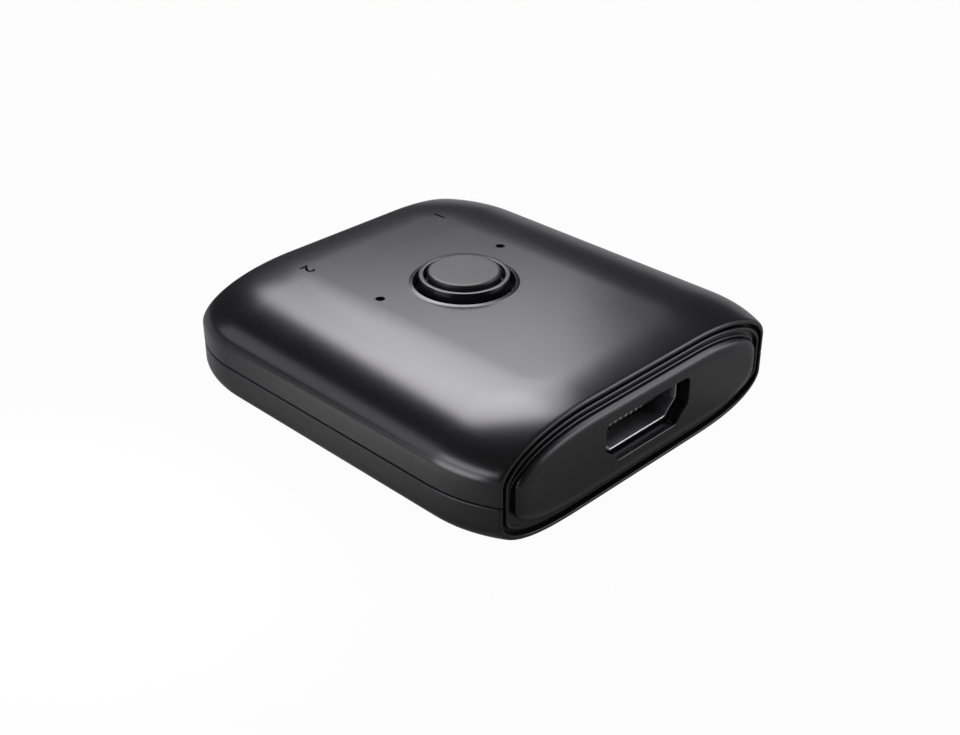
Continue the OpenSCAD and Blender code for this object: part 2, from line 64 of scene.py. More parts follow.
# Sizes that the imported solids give
LID_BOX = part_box("top_shell")
TRAY_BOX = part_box("bottom_shell")
PANEL_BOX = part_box("front_panel")
CAP_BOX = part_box("button_cap")
BEZEL_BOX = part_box("button_bezel")
SOCKET_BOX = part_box("front_port_shell")
FOOT_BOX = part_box("foot_rear_right")
HALF_W = LID_BOX[1].x
RIM_Y = LID_BOX[1].y
TOP_Z = LID_BOX[1].z
UNDER_Z = TRAY_BOX[0].z
PAD_Y = -PANEL_BOX[0].y
PANEL_BACK = -PANEL_BOX[1].y
BUTTON_Y = (CAP_BOX[0].y + CAP_BOX[1].y) / 2
MOUTH_Y = -SOCKET_BOX[0].y

# Pieces that there are several of
SOCKETS = ("front_port", "rear_port_1", "rear_port_2")
FEET = ("foot_front_left", "foot_front_right", "foot_rear_left", "foot_rear_right")
LIGHT_PIPES = ("light_pipe_1", "light_pipe_2")

# How finely the curves are stepped, and the angle in degrees past which an edge stays sharp
ROLL_STEPS = 36
ROOF_STEPS = 12
WALL_STEPS = 6
TURN_STEPS = 128
QUARTER_TURN = np.radians(np.linspace(0, 90, 5))
CREASE = 30

# Play between pieces, sink of one piece in another, run of cutters past a face, and where points merge
SLIP = 0.05 * MM
SINK = 0.02 * MM
PAST = 1 * MM
MERGE = 2e-8

# Mouth of a cutter: its reach past a rounded edge and its lift off the face, in radii of that edge
MOUTH_REACH = 3
MOUTH_LIFT = 0.02

# Bends of a loop: the smallest radius, and how much of a side one may take
SMALLEST_BEND = 0.05 * MM
BEND_SHARE = 0.45

# Outer side of the lip round the button hole, as shares of its width and rise, down to a thin flat ring
LIP_FALL = ((0.8, 0.18), (1, 0), (1.2, 0), (1.7, 0))
LIP_FOOT = 0.002 * MM

# Hollow in a foot's sole, as shares of the foot's radius
FOOT_HOLLOW = (0.6, 0.66)

# Sheet of the switch's snap dome, and its play under the plunger
DOME_SHEET = 0.1 * MM
DOME_PLAY = 0.03 * MM

# Contacts in the upper and the lower row of a socket
CONTACT_ROWS = ((True, 10), (False, 9))

# Middle part of a noise's values that the finishes use, and the sizes of their marks
NOISE_LOW = 0.3
NOISE_HIGH = 0.7
FLOW_MARKS = 14 * MM
GLOSS_CLOUDS = 5 * MM
PLATING_CLOUDS = 2.5 * MM
DRAWN_LINES = 0.25 * MM
RUBBER_BLOOM = 1.2 * MM
RUBBER_GRAIN = 0.3 * MM
BOARD_CELLS = 2.4 * MM
BOARD_CLOUDS = 3 * MM

# How far the roughness wanders, and how deep the relief is
PLASTIC_PLAY = 0.008
PLATING_PLAY = 0.03
PLATING_RELIEF = 0.0006 * MM
RUBBER_RELIEF = 0.01 * MM
BOARD_RELIEF = 0.02 * MM

# Stage, in metres, and the camera: lens and sensor in millimetres, shift in frame widths, angles in degrees
FLOOR_REACH = 4.0
CAMERA_LENS = 53.107
CAMERA_SENSOR = 36
CAMERA_SHIFT = (-0.0011, -0.0279)
CAMERA_CLIP = 0.01
CAMERA_AZIMUTH = -45.378
CAMERA_ELEVATION = 29.219
CAMERA_DISTANCE = 0.189885

# Spot on the paper: where it is aimed and from how far, in metres, its direction and its cone, in degrees
PAPER_AIM = (-0.061, 0.012, 0)
PAPER_DISTANCE = 0.5
PAPER_DIRECTION = (110, 47)
PAPER_CONE = 6.2
PAPER_BLEND = 0.4
PAPER_SOFTNESS = 0.01


def length(name, description, millimetres):
    return bpy.props.FloatProperty(
        name=name, description=description, default=millimetres * MM, unit="LENGTH", precision=5)


def share(name, description, default):
    return bpy.props.FloatProperty(
        name=name, description=description, default=default, min=0, max=1, subtype="FACTOR")


def number(name, description, default):
    return bpy.props.FloatProperty(name=name, description=description, default=default)


def colour(name, description, default):
    return bpy.props.FloatVectorProperty(
        name=name, description=description, default=default, size=3, min=0, max=1, subtype="COLOR")


class CaseSettings(bpy.types.PropertyGroup):
    crown_width: length("Crown width", "Width of the roll from the top face down to the side", 15.2)
    crown_height: length("Crown height", "Height of the roll from the top face down to the side", 5.9)
    chine_width: length("Chine width", "Width of the roll from the underside up to the side", 9.3)
    chine_height: length("Chine height", "Height of the roll from the underside up to the side", 4.4)
    corner: length("Corner", "Radius of the corners in plan", 17.7)
    end_run: length("End run", "How far the plan would run on past each cut-off end", 8.8)
    wall: length("Wall", "Thickness of the shells", 1.8)
    seam: length("Seam", "Height of the seam above the floor", 8.0)
    seam_gap: length("Seam gap", "Open gap along the seam", 0.2)
    seam_edge: length("Seam edge", "Radius of the shells' edges along the seam", 0.1)
    tongue: length("Tongue", "Height of the tongue that locates the shells", 1.1)
    tongue_fill: share("Tongue fill", "How much of its half of the wall the tongue takes up", 0.94)
    rim_edge: length("Rim edge", "Radius of the shells' edge round the end panels", 0.26)
    rim_inner: share("Rim inner edge", "Radius of the rim's inner edge, as a share of its outer one", 0.6)
    rim_width: length("Rim width", "Width of the shells' rim round each end panel", 0.5)
    rim_depth: length("Rim depth", "Thickness of the rim that holds the panel's flange in", 1.2)
    corner_loss: share("Corner loss", "How much of each inset the end outline's corners lose in height", 0.4)
    hole: length("Button hole", "Diameter of the hole round the button", 13.8)
    lip_edge: length("Lip edge", "Radius of the edge of the lip round that hole", 0.08)
    lip_rise: length("Lip rise", "How far that lip stands up from the top face", 0.12)
    lip_width: length("Lip width", "Width over which that lip falls away outwards", 0.5)
    lamp_hole: length("Lamp hole", "Diameter of the holes for the light pipes", 1.24)
    lamp_edge: length("Lamp edge", "Radius of the edge of those holes", 0.06)
    pipe_play: length("Pipe play", "Gap between a light pipe and its hole", 0.025)
    pipe_dome: length("Pipe dome", "Height of the dome on a light pipe's tip", 0.12)
    pipe_edge: length("Pipe edge", "Width of the cut edge of a light pipe's shoulder", 0.1)
    pocket_edge: length("Pocket edge", "Radius of the edge of the feet's pockets", 0.08)
    screw_head: length("Screw head", "Radius of the hole for a screw's head", 2.1)
    screw_seat: length("Screw seat", "Height of that head's seat above the underside", 1.95)
    screw_bore: length("Screw bore", "Radius of the hole for a screw", 1.15)
    screw_depth: length("Screw depth", "Height of that hole's end above the underside", 4)
    foot_edge: length("Foot edge", "Radius of the edge of a foot's sole", 0.3)
    foot_hollow: length("Foot hollow", "Depth of the hollow in a foot's sole", 0.08)


class PanelSettings(bpy.types.PropertyGroup):
    gap: length("Gap", "Gap between the shells' rim and the panel", 0.48)
    flange: length("Flange", "How far the hidden flange reaches past the panel's edge", 0.63)
    ridge: length("Ridge", "Width of the outer edge ridge", 0.45)
    bead: length("Bead", "Width of the bead between the grooves", 0.34)
    groove: length("Groove", "Width of the groove outside the bead", 0.43)
    pad_groove: length("Pad groove", "Width of the groove round the pad", 0.1)
    groove_depth: length("Groove depth", "Depth of the grooves", 0.5)
    ridge_fade: length("Ridge fade", "Height above the floor at which the ridge starts to sink", 6)
    bead_fade: length("Bead fade", "Height above the floor at which the bead starts to sink", 12)
    fade_run: length("Fade run", "Height over which they sink", 3.5)
    pad_round: length("Pad round", "Width of the rounded edge of the pad", 1.8)
    opening_clear: length("Opening clearance", "Clearance between a socket and the panel", 0.45)
    opening_side: length("Opening side", "Further clearance at the sides of a socket", 0.2)
    opening_edge: length("Opening edge", "Radius of the edge round a socket's opening", 0.14)
    opening_bend: length("Opening bend", "Inner radius of the bends of a socket's opening", 0.2)


class ButtonSettings(bpy.types.PropertyGroup):
    cap: length("Cap", "Diameter of the button cap", 9.8)
    cap_round: length("Cap round", "Height of the cap's rounded rim", 0.22)
    cap_slope: length("Cap slope", "Width of the cap's rounded rim", 0.5)
    collar: length("Collar", "Outer diameter of the collar", 12.2)
    collar_wall: length("Collar wall", "Thickness of the collar", 0.7)
    moat: length("Moat", "Depth of the ring between the collar and the lid", 1.4)
    collar_edge: length("Collar edge", "Radius of the collar's edges", 0.13)
    skirt_gap: length("Skirt gap", "Gap between the cap's skirt and the collar", 0.1)
    cap_step: length("Cap step", "Depth of the step in the cap below the collar's top", 1.2)
    cap_edge: length("Cap edge", "Radius of the edges at that step", 0.08)
    cap_roof: length("Cap roof", "Thickness of the cap's top", 1.2)
    cap_wall: length("Cap wall", "Thickness of the cap's wall", 1)
    stem: length("Stem", "Radius of the stem that presses the plunger", 1.7)
    flange: length("Flange", "Thickness of the cap's flange, and of the collar's", 0.8)
    moat_fillet: length("Moat fillet", "Radius at the foot of the collar", 0.2)


class SocketSettings(bpy.types.PropertyGroup):
    width: length("Width", "Width inside a socket", 14)
    height: length("Height", "Height inside a socket", 4.55)
    taper: length("Taper", "Depth below the middle at which the sides draw in", 0.45)
    step_in: length("Step in", "How far the sides draw in at the lower step", 1.05)
    step_down: length("Step down", "Depth of the lower step below the middle", 1.3)
    sole_in: length("Sole in", "How far the sides draw in at the sole", 1.85)
    sheet: length("Sheet", "Thickness of the socket's sheet metal", 0.3)
    depth: length("Depth", "Length of the socket's shell", 11.2)
    bend: length("Bend", "Inner radius of the shell's bends", 0.45)
    flare: length("Flare", "How far the mouth opens out at the sides", 0.2)
    flare_run: length("Flare run", "Depth over which the mouth opens out", 0.9)
    mouth_edge: length("Mouth edge", "Depth of the rounded edge of the mouth", 0.09)
    spring_x: length("Spring place", "How far the spring fingers lie from the middle", 2.9)
    spring_start: length("Spring start", "How far behind the mouth a spring finger starts", 3)
    spring_length: length("Spring length", "Length of a spring finger", 4)
    spring_width: length("Spring width", "Width of a spring finger", 1.8)
    spring_slot: length("Spring slot", "Width of the slot round a spring finger", 0.3)
    leg_width: length("Leg width", "Width of the shell's legs in the board", 1.4)
    leg_front: length("Front legs", "How far behind the mouth the front legs stand", 4.6)
    leg_rear: length("Rear legs", "How far behind the mouth the rear legs stand", 9)
    leg_end: length("Leg end", "How far the legs reach out below the board", 0.6)
    contact_pitch: length("Contact pitch", "Distance between contacts of one row", 1)
    contact_width: length("Contact width", "Width of a contact", 0.36)
    contact_sheet: length("Contact sheet", "Thickness of a contact", 0.15)
    contact_hook: length("Contact hook", "How far a contact folds over the tongue's tip", 0.5)
    contact_proud: length("Contact proud", "How far that fold stands out from the tip", 0.02)
    contact_turn: length("Contact turn", "Width of a contact's cut corners", 0.08)
    contact_leg: length("Contact leg", "How far behind the shell the contacts' legs stand", 0.4)
    contact_foot: length("Contact foot", "Length of a contact's foot on the board", 0.9)
    tongue_start: length("Tongue start", "How far behind the mouth the tongue ends", 2)
    tongue: length("Tongue", "Thickness of the tongue", 1.6)


class NumeralSettings(bpy.types.PropertyGroup):
    size: length("Size", "Size of the type", 2.9)
    across: length("Across", "How far a numeral lies to the side of the lid's middle", 12.29)
    along: length("Along", "How far the numerals lie behind the lid's middle", 20.8)
    ink: length("Ink", "Half the thickness of the ink", 0.01)
    stroke: length("Stroke", "How far the strokes are thickened", 0.04)


class FinishSettings(bpy.types.PropertyGroup):
    lid: colour("Lid", "Satin plastic of the lid", (0.006, 0.006, 0.0064))
    tray: colour("Tray", "Satin plastic of the tray", (0.007, 0.007, 0.0074))
    panel: colour("Panels", "Satin plastic of the end panels", (0.008, 0.008, 0.0084))
    cap: colour("Cap", "Satin plastic of the button cap", (0.009, 0.009, 0.0094))
    bezel: colour("Bezel", "Polished plastic of the collar", (0.006, 0.006, 0.007))
    ink: colour("Ink", "Printed numerals", (0.004, 0.004, 0.004))
    steel: colour("Steel", "Plated sheet metal", (0.56, 0.57, 0.59))
    gold: colour("Gold", "Dull plating of the contacts", (0.26, 0.25, 0.235))
    rubber: colour("Rubber", "Feet", (0.015, 0.015, 0.015))
    board: colour("Board", "Solder mask of the board", (0.012, 0.075, 0.035))
    smoked: colour("Smoked", "Smoked plastic of the light pipes", (0.003, 0.003, 0.0035))
    insert: colour("Insert", "Moulded inserts of the sockets", (0.03, 0.03, 0.031))
    epoxy: colour("Epoxy", "Chips, resistors and the switch's base", (0.014, 0.014, 0.015))
    ceramic: colour("Ceramic", "Chip capacitors", (0.32, 0.23, 0.13))
    resin: colour("Resin", "Indicator lamps", (0.72, 0.68, 0.52))
    plunger: colour("Plunger", "Plunger of the switch", (0.14, 0.03, 0.025))
    zinc: colour("Zinc", "Plated screws", (0.4, 0.41, 0.43))


class StageSettings(bpy.types.PropertyGroup):
    floor: colour("Floor", "Floor's own colour, a light to middle grey", (0.32, 0.32, 0.32))
    floor_white: share("Floor white", "How much of the floor's shading the camera sees as plain white", 0.97)
    floor_mirrored: share("Floor mirrored", "How much of it glossy and clear surfaces see as white", 0.06)
    key: number("Key", "Radiance of the main soft light, high behind the box on the right", 9.6)
    key_spread: share("Key spread", "How much of that the wide panel of that light gives", 0.5)
    key_core: share("Key core", "How much of that the panel in its middle gives", 0.57)
    side: number("Side", "Radiance of the low panel on the left", 5.6)
    wall: number("Wall", "Radiance of the panel above that one", 4.8)
    front: number("Front", "Radiance of the panel in front on the right", 3.8)
    back: number("Back", "Radiance of the panel behind the box on the left", 1.2)
    skirt: number("Skirt", "Radiance of the panel under the main light", 2.1)
    paper: number("Paper", "Power of the spot on the paper beside the box, on the left", 40.0)
    edge: number("Edge", "Radiance of the panel that draws the edges of the front", 3.5)
    tint: colour("Tint", "Colour of the soft lights", (0.965, 0.955, 1.0))
    room: number("Room", "Strength of the light from overhead", 0.06)
    horizon: number("Horizon", "Strength of the light at the horizon and below it", 0.8)
    horizon_blend: share("Horizon blend", "Height above the horizon over which one turns into the other", 0.1)


class SwitchBoxSettings(bpy.types.PropertyGroup):
    case: bpy.props.PointerProperty(type=CaseSettings, name="Case", description="Shells")
    panel: bpy.props.PointerProperty(type=PanelSettings, name="Panels", description="End panels")
    button: bpy.props.PointerProperty(type=ButtonSettings, name="Button", description="Cap and collar")
    socket: bpy.props.PointerProperty(type=SocketSettings, name="Sockets", description="Sockets")
    numerals: bpy.props.PointerProperty(type=NumeralSettings, name="Numerals", description="Printed numerals")
    finish: bpy.props.PointerProperty(type=FinishSettings, name="Finishes", description="Colours")
    stage: bpy.props.PointerProperty(type=StageSettings, name="Stage", description="Floor and light")


def settings():
    return bpy.context.scene.switch_box


# Shapes

def loft(rows, closed=True, wrapped=False, capped=False):
    """Skin over rows of points: closed joins each row's ends, wrapped the last row to the first."""
    count = len(rows[0])
    faces = []
    for j in range(len(rows) if wrapped else len(rows) - 1):
        here, there = j * count, (j + 1) % len(rows) * count
        for k in range(count if closed else count - 1):
            m = (k + 1) % count
            faces.append((here + k, here + m, there + m, there + k))
    if capped:
        faces.append(tuple(range(count)))
        faces.append(tuple(range((len(rows) - 1) * count, len(rows) * count)))
    return np.concatenate(rows), faces


def revolve(profile, x, y, closed=False):
    """Skin of a profile of (radius, height) turned about an upright axis."""
    radius, height = np.array(profile).T
    turns = np.arange(TURN_STEPS) * 2 * math.pi / TURN_STEPS
    rows = [np.c_[x + radius * math.cos(t), y + radius * math.sin(t), height] for t in turns]
    return loft(rows, closed=closed, wrapped=True)


def arc(centre_r, centre_z, radius, start, end, steps=6):
    """Points of a round edge in a profile, with angles in degrees from straight out."""
    turn = np.radians(np.linspace(start, end, steps + 1))
    return [(centre_r + radius * math.cos(t), centre_z + radius * math.sin(t)) for t in turn]


def hole_mouth(radius, edge, level, past):
    """Outer end of a round cutter's profile: a face's rounded edge, then past the face to the axis."""
    sign = 1 if past > level else -1
    wide = radius + MOUTH_REACH * edge
    return [*arc(radius + edge, level - sign * edge, edge, 180, 180 - sign * 90, 3),
            (wide, level + sign * MOUTH_LIFT * edge), (wide, past), (0, past)]


def plan_middle(node):
    """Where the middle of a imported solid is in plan."""
    low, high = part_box(node)
    return (low.x + high.x) / 2, (low.y + high.y) / 2


def make_object(name, shape):
    """Mesh object of a skin, with its doubles merged and its faces pointing outwards."""
    points, faces = shape
    mesh = bpy.data.meshes.new(name)
    mesh.from_pydata(np.asarray(points, float).tolist(), [], faces)
    work = bmesh.new()
    work.from_mesh(mesh)
    bmesh.ops.remove_doubles(work, verts=work.verts, dist=MERGE)
    bmesh.ops.dissolve_degenerate(work, edges=work.edges, dist=MERGE)
    bmesh.ops.recalc_face_normals(work, faces=work.faces)
    work.to_mesh(mesh)
    work.free()
    piece = bpy.data.objects.new(name, mesh)
    bpy.context.scene.collection.objects.link(piece)
    return piece


def settle(piece):
    """Turns a piece's modifiers into plain mesh."""
    bpy.context.view_layer.update()
    graph = bpy.context.evaluated_depsgraph_get()
    before = piece.data
    piece.data = bpy.data.meshes.new_from_object(piece.evaluated_get(graph))
    piece.modifiers.clear()
    bpy.data.meshes.remove(before)
    piece.data.name = piece.name


def carve(piece, cutter, operation="DIFFERENCE"):
    """Cuts one object out of another, or adds it, and removes the cutter."""
    step = piece.modifiers.new("carve", "BOOLEAN")
    step.operation = operation
    step.solver = "EXACT"
    step.object = cutter
    settle(piece)
    bpy.data.objects.remove(cutter)


def smooth(piece):
    """Smooth shading that keeps the sharp edges."""
    piece.data.shade_smooth()
    piece.data.set_sharp_from_angle(angle=math.radians(CREASE))


def dress(piece, material, body, nodes=()):
    """Gives a finished mesh its material and smooth shading, and sets it on its body."""
    piece.data.materials.clear()
    piece.data.materials.append(material)
    smooth(piece)
    even = piece.modifiers.new("even", "WEIGHTED_NORMAL")
    even.keep_sharp = True
    settle(piece)
    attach(piece, body)
    if nodes:
        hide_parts(*nodes)
    return piece


# Outlines of the case

def roll_line(case, y, inset, upper):
    """Section of the pillow across the case, as x and z from the right wall over to the left."""
    width = (case.crown_width if upper else case.chine_width) - inset
    height = (case.crown_height if upper else case.chine_height) - inset
    corner = case.corner - inset
    past = max(0.0, abs(y) - (RIM_Y + case.end_run - case.corner))
    deepest = min(width, corner - past)
    step = deepest * np.sin(np.linspace(0, math.pi / 2, ROLL_STEPS + 1)) ** 2
    across = HALF_W - inset - corner + np.sqrt(np.clip((corner - step) ** 2 - past ** 2, 0, None))
    lost = height * (1 - np.sqrt(np.clip(1 - (1 - step / width) ** 2, 0, None)))
    level = TOP_Z - inset - lost if upper else UNDER_Z + inset + lost
    roof = np.linspace(across[-1], 0, ROOF_STEPS + 1)[1:]
    x = np.r_[across, roof]
    z = np.r_[level, np.full(ROOF_STEPS, level[-1])]
    return np.c_[np.r_[x, -x[-2::-1]], np.r_[z, z[-2::-1]]]


def drawn_in(case, line, inset, upper):
    """The same section drawn in, with rounder corners than an even offset would leave."""
    sign = 1 if upper else -1
    side, roof = line[0], line[ROLL_STEPS]
    span, tall = side[0] - roof[0], abs(roof[1] - side[1])
    x = np.abs(line[:, 0])
    moved = np.where(x > roof[0], roof[0] + (x - roof[0]) * (span - inset) / span, x)
    rise = np.abs(roof[1] - line[:, 1]) * (tall - case.corner_loss * inset) / tall
    return np.c_[np.copysign(moved, line[:, 0]), roof[1] - sign * (inset + rise)]


def rim_line(case, inset, upper):
    return drawn_in(case, roll_line(case, RIM_Y, 0, upper), inset, upper)


def wall_lead(case, line, upper, inside):
    """Points of the right wall from the seam up to the roll, with the seam's edge or its tongue."""
    sign = 1 if upper else -1
    seam = case.seam + sign * case.seam_gap / 2
    x, z = line[0]
    half = case.wall / 2
    if not inside:
        turn = np.linspace(0, math.pi / 2, 4)
        start = [(x - case.seam_edge * (1 - math.sin(t)), seam + sign * case.seam_edge * (1 - math.cos(t)))
                 for t in turn]
    elif upper:
        top = seam + case.tongue + case.seam_edge
        start = [(x + half, seam), (x + half, (seam + top) / 2), (x + half, top), (x, top)]
    else:
        top = seam + case.tongue
        start = [(x + half * case.tongue_fill, seam), (x + half * case.tongue_fill, top), (x, top), (x, seam)]
    low = start[-1][1]
    wall = [(x, low + (z - low) * k / (WALL_STEPS + 1)) for k in range(1, WALL_STEPS + 1)]
    return np.array(start + wall)


def shell_row(case, y, line, upper, inside=False):
    lead = wall_lead(case, line, upper, inside)
    flip = lead[::-1] * (-1, 1)
    row = np.r_[lead, line, flip]
    return np.c_[row[:, 0], np.full(len(row), y), row[:, 1]]


def shell(case, panel, upper):
    """One shell as a closed skin: outside, rims, slots for the panels and inside."""
    flange_y = RIM_Y - case.rim_depth
    slot_in = case.rim_width + panel.gap - panel.flange - SLIP
    edge = case.rim_edge
    small = case.rim_inner * edge
    straight = RIM_Y + case.end_run - case.corner
    outer = np.r_[np.linspace(0, straight, 9), np.linspace(straight, RIM_Y - edge, 25)[1:]]
    inner_end = PANEL_BACK - SLIP
    inner = np.linspace(0, inner_end, 13)

    def end_rows(side):
        rows = []
        for turn in np.radians((15, 30, 45, 60, 75, 90)):
            y = RIM_Y - edge * (1 - math.sin(turn))
            line = drawn_in(case, roll_line(case, y, 0, upper), edge * (1 - math.cos(turn)), upper)
            rows.append(shell_row(case, side * y, line, upper))
        steps = [(RIM_Y - small * (1 - math.cos(turn)), case.rim_width - small * (1 - math.sin(turn)))
                 for turn in QUARTER_TURN]
        steps += [(flange_y, case.rim_width), (flange_y, slot_in), (inner_end, slot_in)]
        for y, inset in steps:
            rows.append(shell_row(case, side * y, rim_line(case, inset, upper), upper))
        return rows

    outside = [shell_row(case, y, roll_line(case, y, 0, upper), upper)
               for y in np.r_[-outer[:0:-1], outer]]
    inside = [shell_row(case, y, roll_line(case, y, case.wall, upper), upper, True)
              for y in np.r_[inner[:0:-1], -inner]]
    rows = outside + end_rows(1) + inside + end_rows(-1)[::-1]
    points, faces = loft(rows, closed=False, wrapped=True)
    count = len(rows[0])
    faces.append(tuple(j * count for j in range(len(rows))))
    faces.append(tuple((j + 1) * count - 1 for j in range(len(rows))))
    return points, faces


def panel_loop(case, y, inset, floor=0, fade=0, run=0):
    """Closed outline of the end, drawn in, at a place along the case, sinking to a floor below a height."""
    upper = rim_line(case, inset, True)
    lower = rim_line(case, inset, False)
    loop = np.r_[upper, lower[::-1]]
    place = np.full(len(loop), y)
    if run:
        kept = np.clip((loop[:, 1] - fade + run) / run, 0, 1)
        place = floor + (y - floor) * kept * kept * (3 - 2 * kept)
    return np.c_[loop[:, 0], -place, loop[:, 1]]


def panel_shape(case, panel):
    """End panel at the front, without its openings."""
    edge = case.rim_width + panel.gap
    flange_y = RIM_Y - case.rim_depth
    flange_in = edge - panel.flange
    floor_y = RIM_Y - panel.groove_depth
    steps = [(PANEL_BACK, flange_in), (flange_y, flange_in), (flange_y, edge)]

    def ridge(start, width, fade):
        for turn in np.radians(np.linspace(0, 180, 9)):
            steps.append((RIM_Y - width / 2 * (1 - math.sin(turn)), start + width / 2 * (1 - math.cos(turn)),
                          floor_y, fade, panel.fade_run))

    ridge(edge, panel.ridge, panel.ridge_fade)
    groove = edge + panel.ridge
    steps.extend([(floor_y, groove), (floor_y, groove + panel.groove)])
    bead = groove + panel.groove
    ridge(bead, panel.bead, panel.bead_fade)
    groove = bead + panel.bead
    pad = groove + panel.pad_groove
    steps.extend([(floor_y, groove), (floor_y, pad)])
    for turn in np.radians(np.linspace(0, 90, 15)):
        steps.append((RIM_Y + (PAD_Y - RIM_Y) * math.sin(turn), pad + panel.pad_round * (1 - math.cos(turn))))
    return loft([panel_loop(case, *step) for step in steps], capped=True)


# Outlines of a socket

def round_loop(points, radius, steps=5):
    """Loop of points with its corners rounded."""
    loop = []
    for k, here in enumerate(points):
        before, after = points[k - 1], points[(k + 1) % len(points)]
        here = np.array(here)
        to_before = np.array(before) - here
        to_after = np.array(after) - here
        sides = np.linalg.norm(to_before), np.linalg.norm(to_after)
        one, two = to_before / sides[0], to_after / sides[1]
        half = math.acos(max(-1, min(1, float(one @ two)))) / 2
        reach = min(radius / math.tan(half), BEND_SHARE * min(sides))
        turned = reach * math.tan(half)
        middle = here + (one + two) / np.linalg.norm(one + two) * turned / math.sin(half)
        start, end = here + one * reach - middle, here + two * reach - middle
        sweep = math.atan2(start[0] * end[1] - start[1] * end[0], float(start @ end))
        for s in range(steps + 1):
            t = sweep * s / steps
            c, n = math.cos(t), math.sin(t)
            loop.append(middle + (start[0] * c - start[1] * n, start[0] * n + start[1] * c))
    return np.array(loop)


def socket_loop(socket, grow, radius):
    """Outline inside a socket, grown outwards, as offsets from its middle."""
    half = socket.width / 2
    right = [(half - socket.sole_in, -socket.height / 2), (half - socket.step_in, -socket.step_down),
             (half, -socket.taper), (half, socket.height / 2)]
    points = np.array(right + [(-x, z) for x, z in right[::-1]])
    moved = []
    for k, here in enumerate(points):
        into, out = here - points[k - 1], points[(k + 1) % len(points)] - here
        one = np.array((into[1], -into[0])) / np.linalg.norm(into)
        two = np.array((out[1], -out[0])) / np.linalg.norm(out)
        moved.append(here + grow * (one + two) / (1 + one @ two))
    return round_loop(moved, max(radius + grow, SMALLEST_BEND))


def socket_rows(socket, steps, radius):
    """Rows of a socket's outline, each at a depth behind the mouth, grown outwards and widened."""
    rows = []
    for depth, grow, wider in steps:
        loop = socket_loop(socket, grow, radius)
        half = socket.width / 2 + grow
        rows.append(np.c_[loop[:, 0] * (half + wider) / half, np.full(len(loop), depth), loop[:, 1]])
    return rows


def socket_place(name):
    """Where a socket's mouth is, as a matrix that takes depth along +Y."""
    low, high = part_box(name + "_shell")
    middle = (low.x + high.x) / 2
    level = (high.z - SOCKET_BOX[1].z) + socket_level()
    if name.startswith("front"):
        return Matrix.Translation((middle, low.y, level))
    return Matrix.Translation((middle, high.y, level)) @ Matrix.Rotation(math.pi, 4, "Z")


def socket_level():
    socket = settings().socket
    return SOCKET_BOX[1].z - socket.sheet - socket.height / 2


# Finishes

class Recipe:
    """One node material, built up step by step."""

    def __init__(self, name, roughness, metallic=0.0):
        self.material = bpy.data.materials.new(name)
        self.material.use_nodes = True
        self.tree = self.material.node_tree
        self.shader = self.tree.nodes["Principled BSDF"]
        self.shader.inputs["Roughness"].default_value = roughness
        self.shader.inputs["Metallic"].default_value = metallic
        self.place = self.node("ShaderNodeTexCoord").outputs["Object"]

    def node(self, kind, **values):
        made = self.tree.nodes.new(kind)
        for name, value in values.items():
            socket = made.inputs[name.replace("_", " ")]
            if isinstance(value, bpy.types.NodeSocket):
                self.tree.links.new(value, socket)
            else:
                socket.default_value = value
        return made

    def feed(self, name, socket):
        self.tree.links.new(socket, self.shader.inputs[name])

    def stretched(self, x, y, z):
        return self.node("ShaderNodeMapping", Vector=self.place, Scale=(x, y, z)).outputs["Vector"]

    def noise(self, size, detail=2.0, vector=None):
        """Cloudy values between 0 and 1, with spots of a size in metres."""
        return self.node("ShaderNodeTexNoise", Vector=vector or self.place, Scale=1 / size,
                         Detail=detail).outputs[0]

    def between(self, value, low, high):
        """The middle of a noise's values stretched to a range."""
        return self.node("ShaderNodeMapRange", Value=value, From_Min=NOISE_LOW, From_Max=NOISE_HIGH,
                         To_Min=low, To_Max=high).outputs["Result"]

    def blend(self, value, one, two):
        """Mix of two colours; the mix node's colours are its inputs 6 and 7."""
        made = self.tree.nodes.new("ShaderNodeMix")
        made.data_type = "RGBA"
        self.tree.links.new(value, made.inputs[0])
        for slot, paint in ((6, one), (7, two)):
            if isinstance(paint, bpy.types.NodeSocket):
                self.tree.links.new(paint, made.inputs[slot])
            else:
                made.inputs[slot].default_value = (*paint[:3], 1)
        return made.outputs[2]

    def bump(self, height, distance):
        return self.node("ShaderNodeBump", Height=height, Distance=distance).outputs["Normal"]


def shade(paint, factor):
    return tuple(min(1.0, c * factor) for c in paint)


def moulded(name, paint, roughness, grain=0.16, depth=0.0004, specular=0.5):
    """Moulded plastic: fine spark-eroded grain in millimetres, faint flow marks and uneven gloss."""
    recipe = Recipe(name, roughness)
    recipe.shader.inputs["Specular IOR Level"].default_value = specular
    flow = recipe.noise(FLOW_MARKS, 3)
    fine = recipe.noise(grain * MM, 2)
    gloss = recipe.noise(GLOSS_CLOUDS, 4)
    tint = recipe.blend(recipe.between(flow, 0, 1), shade(paint, 0.93), shade(paint, 1.07))
    recipe.feed("Base Color", recipe.blend(recipe.between(fine, 0, 0.25), tint, shade(paint, 1.1)))
    recipe.feed("Roughness", recipe.between(gloss, roughness - PLASTIC_PLAY, roughness + PLASTIC_PLAY))
    recipe.feed("Normal", recipe.bump(fine, depth * MM))
    return recipe.material


def plated(name, paint, roughness, along=(1, 0.08, 1)):
    """Plated metal with fine drawing lines and a faint cloud in its colour."""
    recipe = Recipe(name, roughness, metallic=1.0)
    lines = recipe.noise(DRAWN_LINES, 3, recipe.stretched(*along))
    cloud = recipe.between(recipe.noise(PLATING_CLOUDS, 3), 0, 1)
    recipe.feed("Base Color", recipe.blend(cloud, shade(paint, 0.9), shade(paint, 1.08)))
    recipe.feed("Roughness", recipe.between(lines, roughness - PLATING_PLAY, roughness + PLATING_PLAY))
    recipe.feed("Normal", recipe.bump(lines, PLATING_RELIEF))
    return recipe.material


